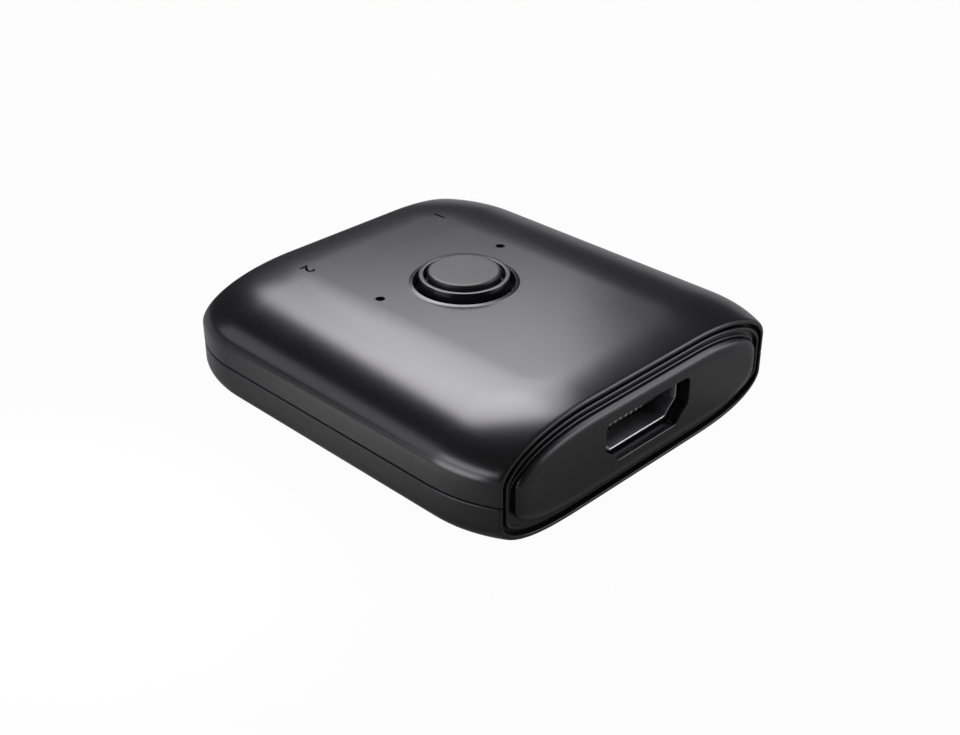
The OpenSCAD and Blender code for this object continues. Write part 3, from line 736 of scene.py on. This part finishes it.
def soft_rubber(name, paint):
    """Matt rubber with a dusty bloom."""
    recipe = Recipe(name, 0.8)
    bloom = recipe.noise(RUBBER_BLOOM, 5)
    recipe.feed("Base Color", recipe.blend(recipe.between(bloom, 0, 1), paint, shade(paint, 1.9)))
    recipe.feed("Roughness", recipe.between(bloom, 0.72, 0.9))
    recipe.feed("Normal", recipe.bump(recipe.noise(RUBBER_GRAIN, 3), RUBBER_RELIEF))
    return recipe.material


def solder_mask(name, paint):
    """Board with tracks that show faintly through its lacquer."""
    recipe = Recipe(name, 0.35)
    cells = recipe.node("ShaderNodeTexBrick", Vector=recipe.place, Scale=1 / BOARD_CELLS, Mortar_Size=0.05,
                        Mortar_Smooth=0.3, Color1=(*paint, 1), Color2=(*shade(paint, 0.8), 1),
                        Mortar=(*shade(paint, 1.8), 1))
    recipe.feed("Base Color", cells.outputs["Color"])
    recipe.feed("Roughness", recipe.between(recipe.noise(BOARD_CLOUDS), 0.3, 0.42))
    recipe.feed("Normal", recipe.bump(cells.outputs["Fac"], BOARD_RELIEF))
    return recipe.material


# Pieces

class SWITCHBOX_OT_lid(bpy.types.Operator):
    """Lid with its hole for the button and the two holes for the light pipes"""
    bl_idname = "switch_box.lid"
    bl_label = "Lid"

    def execute(self, context):
        case, panel, finish = settings().case, settings().panel, settings().finish
        lid = make_object("lid", shell(case, panel, True))
        radius, edge = case.hole / 2, case.lip_edge
        low, high = TOP_Z - 2 * case.wall, TOP_Z + case.wall
        profile = [(0, low), (radius, low), (radius, high), (0, high)]
        carve(lid, make_object("hole", revolve(profile, 0, BUTTON_Y)))
        inner, outer = radius - SINK, radius + LIP_FALL[-1][0] * case.lip_width
        base, foot, crest = TOP_Z - case.wall / 3, TOP_Z + LIP_FOOT, TOP_Z + case.lip_rise
        fall = [(radius + out * case.lip_width, foot + up * case.lip_rise) for out, up in LIP_FALL]
        ring = [(inner, base), *arc(inner + edge, crest - edge, edge, 180, 75), *fall, (outer, base)]
        carve(lid, make_object("lip", revolve(ring, 0, BUTTON_Y, closed=True)), "UNION")
        radius = case.lamp_hole / 2
        profile = [(0, low), (radius, low), *hole_mouth(radius, case.lamp_edge, TOP_Z, high)]
        for node in LIGHT_PIPES:
            carve(lid, make_object("hole", revolve(profile, *plan_middle(node))))
        dress(lid, moulded("lid_satin", finish.lid, 0.24), "case", ["top_shell"])
        return {"FINISHED"}


class SWITCHBOX_OT_tray(bpy.types.Operator):
    """Tray with pockets for its feet and screws"""
    bl_idname = "switch_box.tray"
    bl_label = "Tray"

    def execute(self, context):
        case, panel, finish = settings().case, settings().panel, settings().finish
        tray = make_object("tray", shell(case, panel, False))
        radius = (FOOT_BOX[1].x - FOOT_BOX[0].x) / 2 + SLIP
        roof, seat, end = FOOT_BOX[1].z, UNDER_Z + case.screw_seat, UNDER_Z + case.screw_depth
        profile = [*hole_mouth(radius, case.pocket_edge, UNDER_Z, UNDER_Z - PAST)[::-1], (radius, roof),
                   (case.screw_head, roof), (case.screw_head, seat), (case.screw_bore, seat),
                   (case.screw_bore, end), (0, end)]
        for node in FEET:
            carve(tray, make_object("pocket", revolve(profile, *plan_middle(node))))
        satin = moulded("tray_satin", finish.tray, 0.3, specular=0.42)
        dress(tray, satin, "case", ["bottom_shell"])
        return {"FINISHED"}


class SWITCHBOX_OT_end_panels(bpy.types.Operator):
    """Pillowed end panels with their grooves and socket openings"""
    bl_idname = "switch_box.end_panels"
    bl_label = "End panels"

    def execute(self, context):
        case, panel, socket = settings().case, settings().panel, settings().socket
        satin = moulded("panel_satin", settings().finish.panel, 0.28)
        grow, edge = socket.sheet + panel.opening_clear, panel.opening_edge
        face, side = MOUTH_Y - PAD_Y, panel.opening_side
        steps = [(PAD_Y - PANEL_BACK + face + PAST, grow, side)]
        for turn in QUARTER_TURN:
            steps.append((face + edge * (1 - math.sin(turn)), grow + edge * (1 - math.cos(turn)), side))
        wide = grow + MOUTH_REACH * edge
        steps += [(face - MOUTH_LIFT * edge, wide, side), (face - PAST, wide, side)]
        cutter = loft(socket_rows(socket, steps, panel.opening_bend), capped=True)
        for name, ports in (("front_panel", ["front_port"]), ("rear_panel", ["rear_port_1", "rear_port_2"])):
            piece = make_object(name.replace("_panel", "_end"), panel_shape(case, panel))
            if name == "rear_panel":
                piece.data.transform(Matrix.Rotation(math.pi, 4, "Z"))
            for port in ports:
                tool = make_object("opening", cutter)
                tool.data.transform(socket_place(port))
                carve(piece, tool)
            dress(piece, satin, "case", [name])
        return {"FINISHED"}


class SWITCHBOX_OT_button(bpy.types.Operator):
    """Button cap and the collar that guides it"""
    bl_idname = "switch_box.button"
    bl_label = "Button"

    def execute(self, context):
        case, button, finish = settings().case, settings().button, settings().finish
        cap = make_object("cap", revolve(cap_profile(button), 0, BUTTON_Y))
        satin = moulded("cap_satin", finish.cap, 0.38, specular=0.42)
        dress(cap, satin, "button", ["button_cap"])
        bezel = make_object("collar", revolve(collar_profile(case, button), 0, BUTTON_Y, closed=True))
        gloss = moulded("collar_gloss", finish.bezel, 0.2, grain=0.3, depth=0.0006)
        dress(bezel, gloss, "case", ["button_bezel"])
        return {"FINISHED"}


def cap_profile(button):
    """Half section of the cap: top, rounded rim, step, skirt, flange, hollow and stem."""
    top, low, flange = CAP_BOX[1].z, CAP_BOX[0].z, CAP_BOX[1].x
    radius, tall, slope = button.cap / 2, button.cap_round, button.cap_slope
    skirt = button.collar / 2 - button.collar_wall - button.skirt_gap
    step, small = BEZEL_BOX[1].z - button.cap_step, button.cap_edge
    hollow, roof = radius - button.cap_wall, top - button.cap_roof
    flange_top, flange_low = BEZEL_BOX[0].z, BEZEL_BOX[0].z - button.flange
    face = [(radius * part, top) for part in (0, 0.5, 0.8)]
    rim = [(radius - slope + slope * math.cos(t), top - tall + tall * math.sin(t))
           for t in np.radians(np.linspace(90, 0, 13))]
    return [*face, *rim, (radius, step + small), (radius + small, step),
            *arc(skirt - small, step - small, small, 90, 0, 3), (skirt, flange_top), (flange, flange_top),
            (flange, flange_low), (hollow, flange_low), (hollow, roof), (button.stem, roof),
            (button.stem, low), (0, low)]


def collar_profile(case, button):
    """Section of the collar, the moat round it and the flange under the lid."""
    top, low, reach = BEZEL_BOX[1].z, BEZEL_BOX[0].z, BEZEL_BOX[1].x
    outer = button.collar / 2
    inner = outer - button.collar_wall
    edge, fillet = button.collar_edge, button.moat_fillet
    moat_r, moat, flange = case.hole / 2 - SLIP, TOP_Z - button.moat, low + button.flange
    return [(inner, low), (inner, top - edge), *arc(inner + edge, top - edge, edge, 180, 90, 5),
            *arc(outer - edge, top - edge, edge, 90, 0, 5), (outer, moat + fillet),
            *arc(outer + fillet, moat + fillet, fillet, 180, 270, 4), (moat_r, moat), (moat_r, flange),
            (reach, flange), (reach, low)]


class SWITCHBOX_OT_light_pipes(bpy.types.Operator):
    """Smoked light pipes with a slightly domed tip"""
    bl_idname = "switch_box.light_pipes"
    bl_label = "Light pipes"

    def execute(self, context):
        case = settings().case
        smoked = moulded("smoked_gloss", settings().finish.smoked, 0.5, grain=0.4, specular=0.0)
        tip, shoulder, cut = case.lamp_hole / 2 - case.pipe_play, TOP_Z - case.wall, case.pipe_edge
        for k, node in enumerate(LIGHT_PIPES, 1):
            low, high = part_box(node)
            foot = (high.x - low.x) / 2
            dome = [(tip * math.sin(t), high.z - case.pipe_dome * (1 - math.cos(t)))
                    for t in np.linspace(0, math.pi / 2, 8)]
            profile = [*dome, (tip, shoulder), (foot - cut, shoulder), (foot, shoulder - cut), (foot, low.z),
                       (0, low.z)]
            pipe = make_object(f"light_pipe_tip_{k}", revolve(profile, *plan_middle(node)))
            dress(pipe, smoked, "case", [node])
        return {"FINISHED"}


class SWITCHBOX_OT_sockets(bpy.types.Operator):
    """Folded metal shells of the three sockets, with spring fingers and legs"""
    bl_idname = "switch_box.sockets"
    bl_label = "Sockets"

    def execute(self, context):
        socket, finish = settings().socket, settings().finish
        steel = plated("socket_plating", finish.steel, 0.4)
        sheet = socket.sheet
        edge, flared = socket.mouth_edge, socket.flare_run
        steps = [(socket.depth, 0, 0), (flared, 0, 0), (flared / 2, 0, socket.flare / 3),
                 (edge, 0, socket.flare)]
        for turn in np.radians(np.linspace(22.5, 157.5, 7)):
            steps.append((edge * (1 - math.sin(turn)), sheet / 2 * (1 - math.cos(turn)), socket.flare))
        steps += [(edge, sheet, socket.flare), (flared / 2, sheet, socket.flare / 3), (flared, sheet, 0),
                  (socket.depth, sheet, 0)]
        tube = loft(socket_rows(socket, steps, socket.bend), wrapped=True)
        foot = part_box("main_board")[0].z - socket.leg_end - socket_level()
        for port in SOCKETS:
            sleeve = make_object(port + "_sleeve", tube)
            for x in (-socket.spring_x, socket.spring_x):
                for level in (-1, 1):
                    carve(sleeve, spring_cutter(socket, x, level * (socket.height + sheet) / 2))
            for side in (-1, 1):
                for depth in (socket.leg_front, socket.leg_rear):
                    carve(sleeve, socket_leg(socket, side * (socket.width + sheet) / 2, depth, foot), "UNION")
            sleeve.data.transform(socket_place(port))
            dress(sleeve, steel, "case", [port + "_shell"])
        return {"FINISHED"}


def spring_cutter(socket, x, z):
    """Slot on three sides of a spring finger."""
    reach, slot = socket.spring_width / 2 + socket.spring_slot, socket.spring_slot
    start, end = socket.spring_start, socket.spring_start + socket.spring_length
    outline = [(x - reach, start), (x - reach, end), (x + reach, end), (x + reach, start),
               (x + reach - slot, start), (x + reach - slot, end - slot), (x - reach + slot, end - slot),
               (x - reach + slot, start)]
    rows = [np.array([(u, v, z + step) for u, v in outline]) for step in (-socket.sheet, socket.sheet)]
    return make_object("slot", loft(rows, capped=True))


def socket_leg(socket, x, depth, foot):
    """Leg with a tapered tip, which stands in a slot in the board."""
    half, thin = socket.leg_width / 2, socket.sheet / 2
    outline = [(depth - half, -socket.taper), (depth + half, -socket.taper), (depth + half, foot + half / 2),
               (depth + half / 2, foot), (depth - half / 2, foot), (depth - half, foot + half / 2)]
    rows = [np.array([(u, v, w) for v, w in outline]) for u in (x - thin, x + thin)]
    return make_object("leg", loft(rows, capped=True))


class SWITCHBOX_OT_contacts(bpy.types.Operator):
    """Rows of contacts on the sockets' tongues"""
    bl_idname = "switch_box.contacts"
    bl_label = "Contacts"

    def execute(self, context):
        socket = settings().socket
        gold = plated("contact_plating", settings().finish.gold, 0.35)
        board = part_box("main_board")[1].z - socket_level()
        for port in SOCKETS:
            rows = []
            for upper, count in CONTACT_ROWS:
                one = make_object("contact", contact_shape(socket, upper, board))
                span = (count - 1) * socket.contact_pitch
                rows.append(repeated("row", one, (count, 1), (span, 0), gold))
            contacts = merged(port + "_blades", rows)
            contacts.data.transform(socket_place(port))
            dress(contacts, gold, "case", [port + "_contacts"])
        return {"FINISHED"}


def contact_shape(socket, upper, board):
    """One contact: hook over the tongue's tip, beam, leg behind the socket and foot on the board."""
    sheet, half = socket.contact_sheet, socket.contact_width / 2
    sign = 1 if upper else -1
    face = sign * socket.tongue / 2
    back = sign * (socket.tongue / 2 + sheet)
    hook = face - sign * socket.contact_hook
    tip, turn = socket.tongue_start - socket.contact_proud, socket.contact_turn
    leg = socket.depth + socket.contact_leg
    heel, toe = leg - sheet, leg - sheet + socket.contact_foot
    outline = [(tip, hook), (tip, back - sign * turn), (tip + turn, back)]
    if upper:
        outline += [(leg - turn, back), (leg, back - turn), (leg, board + sheet), (toe, board + sheet),
                    (toe, board), (heel, board), (heel, face)]
    else:
        outline += [(heel, back), (heel, board), (toe, board), (toe, board + sheet), (leg, board + sheet),
                    (leg, face)]
    outline += [(tip + sheet, face), (tip + sheet, hook)]
    rows = [np.array([(x, y, z) for y, z in outline]) for x in (-half, half)]
    return loft(rows, capped=True)


def merged(name, pieces):
    """One object from several, which are removed."""
    work = bmesh.new()
    for piece in pieces:
        work.from_mesh(piece.data)
        bpy.data.objects.remove(piece)
    mesh = bpy.data.meshes.new(name)
    work.to_mesh(mesh)
    work.free()
    made = bpy.data.objects.new(name, mesh)
    bpy.context.scene.collection.objects.link(made)
    return made


class SWITCHBOX_OT_feet(bpy.types.Operator):
    """Rubber feet, one moulding repeated at four places"""
    bl_idname = "switch_box.feet"
    bl_label = "Feet"

    def execute(self, context):
        case = settings().case
        low, high = FOOT_BOX
        radius, edge = (high.x - low.x) / 2, case.foot_edge
        start, end = (radius * part for part in FOOT_HOLLOW)
        profile = [(0, case.foot_hollow), (start, case.foot_hollow), (end, 0), (radius - edge, 0),
                   *arc(radius - edge, edge, edge, 270, 360, 5), (radius, high.z), (0, high.z)]
        one = make_object("foot", revolve(profile, 0, 0))
        smooth(one)
        rubber = soft_rubber("foot_rubber", settings().finish.rubber)
        feet = repeated("feet", one, (2, 2), (low.x + high.x, low.y + high.y), rubber)
        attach(feet, "case")
        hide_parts(*FEET)
        return {"FINISHED"}


class SWITCHBOX_OT_numerals(bpy.types.Operator):
    """Printed numerals that count the rear sockets"""
    bl_idname = "switch_box.numerals"
    bl_label = "Numerals"

    def execute(self, context):
        case, numerals = settings().case, settings().numerals
        ink = moulded("printed_ink", settings().finish.ink, 0.7, grain=0.1, depth=0.002, specular=0.0)
        for text, side in (("1", 1), ("2", -1)):
            curve = bpy.data.curves.new("numeral", "FONT")
            curve.body = text
            curve.size = numerals.size
            curve.align_x = "CENTER"
            curve.align_y = "CENTER"
            curve.extrude = numerals.ink
            curve.offset = numerals.stroke
            source = bpy.data.objects.new("numeral", curve)
            context.scene.collection.objects.link(source)
            context.view_layer.update()
            graph = context.evaluated_depsgraph_get()
            mesh = bpy.data.meshes.new_from_object(source.evaluated_get(graph))
            bpy.data.objects.remove(source)
            place = Matrix.Translation((side * numerals.across, numerals.along, 0))
            mesh.transform(place @ Matrix.Rotation(math.pi, 4, "Z"))
            for point in mesh.vertices:
                line = roll_line(case, point.co.y, 0, True)
                order = np.argsort(line[:, 0])
                point.co.z += np.interp(point.co.x, line[order, 0], line[order, 1])
            piece = bpy.data.objects.new("numeral_" + text, mesh)
            context.scene.collection.objects.link(piece)
            dress(piece, ink, "case")
        return {"FINISHED"}


class SWITCHBOX_OT_inside(bpy.types.Operator):
    """Finishes of the solids inside the case"""
    bl_idname = "switch_box.inside"
    bl_label = "Inside"

    def execute(self, context):
        finish = settings().finish
        insert = moulded("insert_black", finish.insert, 0.5)
        steel = plated("switch_plating", finish.steel, 0.3)
        epoxy = moulded("chip_epoxy", finish.epoxy, 0.5, grain=0.08)
        looks = {
            "main_board": solder_mask("board_green", finish.board),
            "selector_chip": epoxy, "surge_arrays": epoxy, "chip_resistors": epoxy,
            "chip_capacitors": moulded("chip_ceramic", finish.ceramic, 0.5, grain=0.06),
            "lamp_1": moulded("lamp_resin", finish.resin, 0.2, grain=0.2),
            "switch_base": epoxy, "switch_cover": steel, "switch_terminals": steel,
            "switch_plunger": moulded("plunger_red", finish.plunger, 0.45),
            "case_screws": plated("screw_zinc", finish.zinc, 0.32, along=(1, 1, 0.1)),
        }
        looks["lamp_2"] = looks["lamp_1"]
        for port in SOCKETS:
            looks[port + "_insert"] = insert
        for node, material in looks.items():
            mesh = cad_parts[node].data
            mesh.materials.clear()
            mesh.materials.append(material)
        snap_dome(steel)
        return {"FINISHED"}


def snap_dome(steel):
    """Snap dome of the switch: a thin arched sheet, with some play under its plunger."""
    low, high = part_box("switch_dome")
    radius, rise = (high.x - low.x) / 2, high.z - low.z - DOME_SHEET - DOME_PLAY
    reach = np.linspace(0, 1, 13)
    over = [(radius * r, low.z + DOME_SHEET + rise * (1 - r * r)) for r in reach]
    under = [(radius * r, low.z + rise * (1 - r * r)) for r in reach[::-1]]
    dome = make_object("snap_dome", revolve(over + under, *plan_middle("switch_dome")))
    dress(dome, steel, "case", ["switch_dome"])
    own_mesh(dome)


def repeat_tree():
    """Node tree that repeats one piece over a grid of places."""
    tree = bpy.data.node_groups.new("Repeated pieces", "GeometryNodeTree")
    kinds = (("Geometry", "Geometry"), ("Piece", "Object"), ("Count across", "Int"), ("Count along", "Int"),
             ("Width", "Float"), ("Length", "Float"), ("Finish", "Material"))
    names = {}
    for label, kind in kinds:
        entry = tree.interface.new_socket(label, in_out="INPUT", socket_type="NodeSocket" + kind)
        names[label] = entry.identifier
    tree.interface.new_socket("Geometry", in_out="OUTPUT", socket_type="NodeSocketGeometry")
    start = tree.nodes.new("NodeGroupInput")
    grid = tree.nodes.new("GeometryNodeMeshGrid")
    source = tree.nodes.new("GeometryNodeObjectInfo")
    spread = tree.nodes.new("GeometryNodeInstanceOnPoints")
    real = tree.nodes.new("GeometryNodeRealizeInstances")
    paint = tree.nodes.new("GeometryNodeSetMaterial")
    end = tree.nodes.new("NodeGroupOutput")
    source.inputs["As Instance"].default_value = True
    for giver, output, taker, entry in (
            (start, "Width", grid, "Size X"), (start, "Length", grid, "Size Y"),
            (start, "Count across", grid, "Vertices X"), (start, "Count along", grid, "Vertices Y"),
            (start, "Piece", source, "Object"), (start, "Finish", paint, "Material"),
            (grid, "Mesh", spread, "Points"), (source, "Geometry", spread, "Instance"),
            (spread, "Instances", real, "Geometry"), (real, "Geometry", paint, "Geometry"),
            (paint, "Geometry", end, "Geometry")):
        tree.links.new(giver.outputs[output], taker.inputs[entry])
    return tree, names


def repeated(name, one, counts, spans, material):
    """Plain mesh of one piece repeated over a grid about the middle; the single piece is removed."""
    tree, names = repeat_tree()
    host = bpy.data.objects.new(name, bpy.data.meshes.new(name))
    bpy.context.scene.collection.objects.link(host)
    step = host.modifiers.new("repeat", "NODES")
    step.node_group = tree
    for label, value in (("Piece", one), ("Count across", counts[0]), ("Count along", counts[1]),
                         ("Width", spans[0]), ("Length", spans[1]), ("Finish", material)):
        step[names[label]] = value
    settle(host)
    bpy.data.objects.remove(one)
    bpy.data.node_groups.remove(tree)
    return host


class SWITCHBOX_OT_stage(bpy.types.Operator):
    """Floor, soft studio light and the camera"""
    bl_idname = "switch_box.stage"
    bl_label = "Stage"

    def execute(self, context):
        stage = settings().stage
        floor = bpy.data.objects.new("floor", bpy.data.meshes.new("floor"))
        corners = [(x * FLOOR_REACH, y * FLOOR_REACH, 0) for x, y in ((-1, -1), (1, -1), (1, 1), (-1, 1))]
        floor.data.from_pydata(corners, [], [(0, 1, 2, 3)])
        context.scene.collection.objects.link(floor)
        floor.data.materials.append(floor_paint(stage))
        room_light(context.scene, stage)
        soft_box("key", 55.3, 48.5, 0.504, (0.293, 0.256), stage.key * stage.key_spread)
        soft_box("key_core", 58.8, 54.6, 0.504, (0.229, 0.188), stage.key * stage.key_core)
        soft_box("side", 168, 9.5, 0.6, (0.4, 0.21), stage.side)
        soft_box("wall", 170, 32, 0.7, (0.49, 0.18), stage.wall)
        soft_box("front", 311, 18, 0.6, (0.42, 0.23), stage.front)
        soft_box("back", 132, 27, 0.7, (0.42, 0.3), stage.back)
        soft_box("skirt", 50, 38, 0.2, (0.09, 0.055), stage.skirt)
        soft_box("edge", 335, 42, 0.7, (0.42, 0.3), stage.edge)
        paper_spot(stage.paper)
        view = bpy.data.cameras.new("camera")
        view.lens = CAMERA_LENS
        view.sensor_width = CAMERA_SENSOR
        view.shift_x, view.shift_y = CAMERA_SHIFT
        view.clip_start = CAMERA_CLIP
        camera = bpy.data.objects.new("camera", view)
        azimuth, elevation = math.radians(CAMERA_AZIMUTH), math.radians(CAMERA_ELEVATION)
        distance = CAMERA_DISTANCE
        middle = (TOP_Z + UNDER_Z) / 2
        camera.location = (math.sin(azimuth) * math.cos(elevation) * distance,
                           -math.cos(azimuth) * math.cos(elevation) * distance,
                           middle + math.sin(elevation) * distance)
        camera.rotation_euler = (math.pi / 2 - elevation, 0, azimuth)
        context.scene.collection.objects.link(camera)
        context.scene.camera = camera
        context.scene.view_settings.view_transform = "Standard"
        return {"FINISHED"}


def floor_paint(stage):
    """Grey sheet that the camera sees nearly white, with the box's shadow; it is clear from below."""
    material = bpy.data.materials.new("floor_paper")
    material.use_nodes = True
    tree = material.node_tree
    link = tree.links.new
    matt = tree.nodes["Principled BSDF"]
    matt.inputs["Base Color"].default_value = (*stage.floor, 1)
    matt.inputs["Roughness"].default_value = 0.9
    matt.inputs["Specular IOR Level"].default_value = 0.0
    path = tree.nodes.new("ShaderNodeLightPath")
    total = None
    for name, part in (("Is Camera Ray", stage.floor_white), ("Is Glossy Ray", stage.floor_mirrored),
                       ("Is Transmission Ray", stage.floor_mirrored)):
        step = tree.nodes.new("ShaderNodeMath")
        step.operation = "MULTIPLY_ADD"
        link(path.outputs[name], step.inputs[0])
        step.inputs[1].default_value = part
        step.inputs[2].default_value = 0
        if total is not None:
            link(total, step.inputs[2])
        total = step.outputs[0]
    glow = tree.nodes.new("ShaderNodeEmission")
    glow.inputs["Strength"].default_value = 1.0
    clear = tree.nodes.new("ShaderNodeBsdfTransparent")
    under = tree.nodes.new("ShaderNodeNewGeometry").outputs["Backfacing"]
    surface = matt
    for amount, shader in ((total, glow), (under, clear)):
        mix = tree.nodes.new("ShaderNodeMixShader")
        link(amount, mix.inputs[0])
        link(surface.outputs[0], mix.inputs[1])
        link(shader.outputs[0], mix.inputs[2])
        surface = mix
    link(surface.outputs[0], tree.nodes["Material Output"].inputs["Surface"])
    return material


def room_light(scene, stage):
    """Dim light from overhead that brightens towards the horizon."""
    world = bpy.data.worlds.new("room")
    world.use_nodes = True
    tree = world.node_tree
    back = tree.nodes["Background"]
    back.inputs["Color"].default_value = (*stage.tint, 1)
    place = tree.nodes.new("ShaderNodeTexCoord")
    split = tree.nodes.new("ShaderNodeSeparateXYZ")
    level = tree.nodes.new("ShaderNodeMapRange")
    level.interpolation_type = "SMOOTHSTEP"
    for name, value in (("From Min", 0.0), ("From Max", stage.horizon_blend), ("To Min", stage.horizon),
                        ("To Max", stage.room)):
        level.inputs[name].default_value = value
    tree.links.new(place.outputs["Generated"], split.inputs[0])
    tree.links.new(split.outputs["Z"], level.inputs["Value"])
    tree.links.new(level.outputs["Result"], back.inputs["Strength"])
    scene.world = world


def direction(azimuth, elevation):
    """Unit vector away from the box, in degrees from +X and from the floor."""
    around, height = math.radians(azimuth), math.radians(elevation)
    flat = math.cos(height)
    return Vector((math.cos(around) * flat, math.sin(around) * flat, math.sin(height)))


def hang(lamp, aim, toward, distance):
    """Sets a lamp at a distance from the point that it is aimed at."""
    light = bpy.data.objects.new(lamp.name, lamp)
    light.location = Vector(aim) + toward * distance
    light.rotation_euler = toward.to_track_quat("Z", "Y").to_euler()
    bpy.context.scene.collection.objects.link(light)
    return light


def soft_box(name, azimuth, elevation, distance, size, radiance):
    """Soft light in a direction from the box, facing the box."""
    lamp = bpy.data.lights.new(name, "AREA")
    lamp.shape = "RECTANGLE"
    lamp.size, lamp.size_y = size
    lamp.color = settings().stage.tint
    lamp.energy = radiance * math.pi * size[0] * size[1]
    light = hang(lamp, (0, 0, 0), direction(azimuth, elevation), distance)
    light.visible_camera = False


def paper_spot(power):
    """Spot from high behind that lights only the paper beside the box, on the left."""
    lamp = bpy.data.lights.new("paper", "SPOT")
    lamp.energy = power
    lamp.spot_size = math.radians(PAPER_CONE)
    lamp.spot_blend = PAPER_BLEND
    lamp.shadow_soft_size = PAPER_SOFTNESS
    hang(lamp, PAPER_AIM, direction(*PAPER_DIRECTION), PAPER_DISTANCE)


PIECES = (
    SWITCHBOX_OT_lid, SWITCHBOX_OT_tray, SWITCHBOX_OT_end_panels, SWITCHBOX_OT_button,
    SWITCHBOX_OT_light_pipes, SWITCHBOX_OT_sockets, SWITCHBOX_OT_contacts, SWITCHBOX_OT_feet,
    SWITCHBOX_OT_numerals, SWITCHBOX_OT_inside, SWITCHBOX_OT_stage,
)


class SWITCHBOX_PT_panel(bpy.types.Panel):
    """Pieces of the switch box"""
    bl_idname = "SWITCHBOX_PT_panel"
    bl_label = "Switch Box"
    bl_space_type = "VIEW_3D"
    bl_region_type = "UI"
    bl_category = "Switch Box"

    def draw(self, context):
        for piece in PIECES:
            self.layout.operator(piece.bl_idname)
        for group in ("case", "panel", "button", "socket", "numerals", "finish", "stage"):
            box = self.layout.box()
            held = getattr(settings(), group)
            for name in held.__annotations__:
                box.prop(held, name)


CLASSES = (
    CaseSettings, PanelSettings, ButtonSettings, SocketSettings, NumeralSettings, FinishSettings,
    StageSettings, SwitchBoxSettings, *PIECES, SWITCHBOX_PT_panel,
)


def register():
    for item in CLASSES:
        bpy.utils.register_class(item)
    bpy.types.Scene.switch_box = bpy.props.PointerProperty(type=SwitchBoxSettings)


def unregister():
    del bpy.types.Scene.switch_box
    for item in reversed(CLASSES):
        bpy.utils.unregister_class(item)


def main():
    register()
    for piece in PIECES:
        group, name = piece.bl_idname.split(".")
        getattr(getattr(bpy.ops, group), name)()


if __name__ == "__main__":
    main()
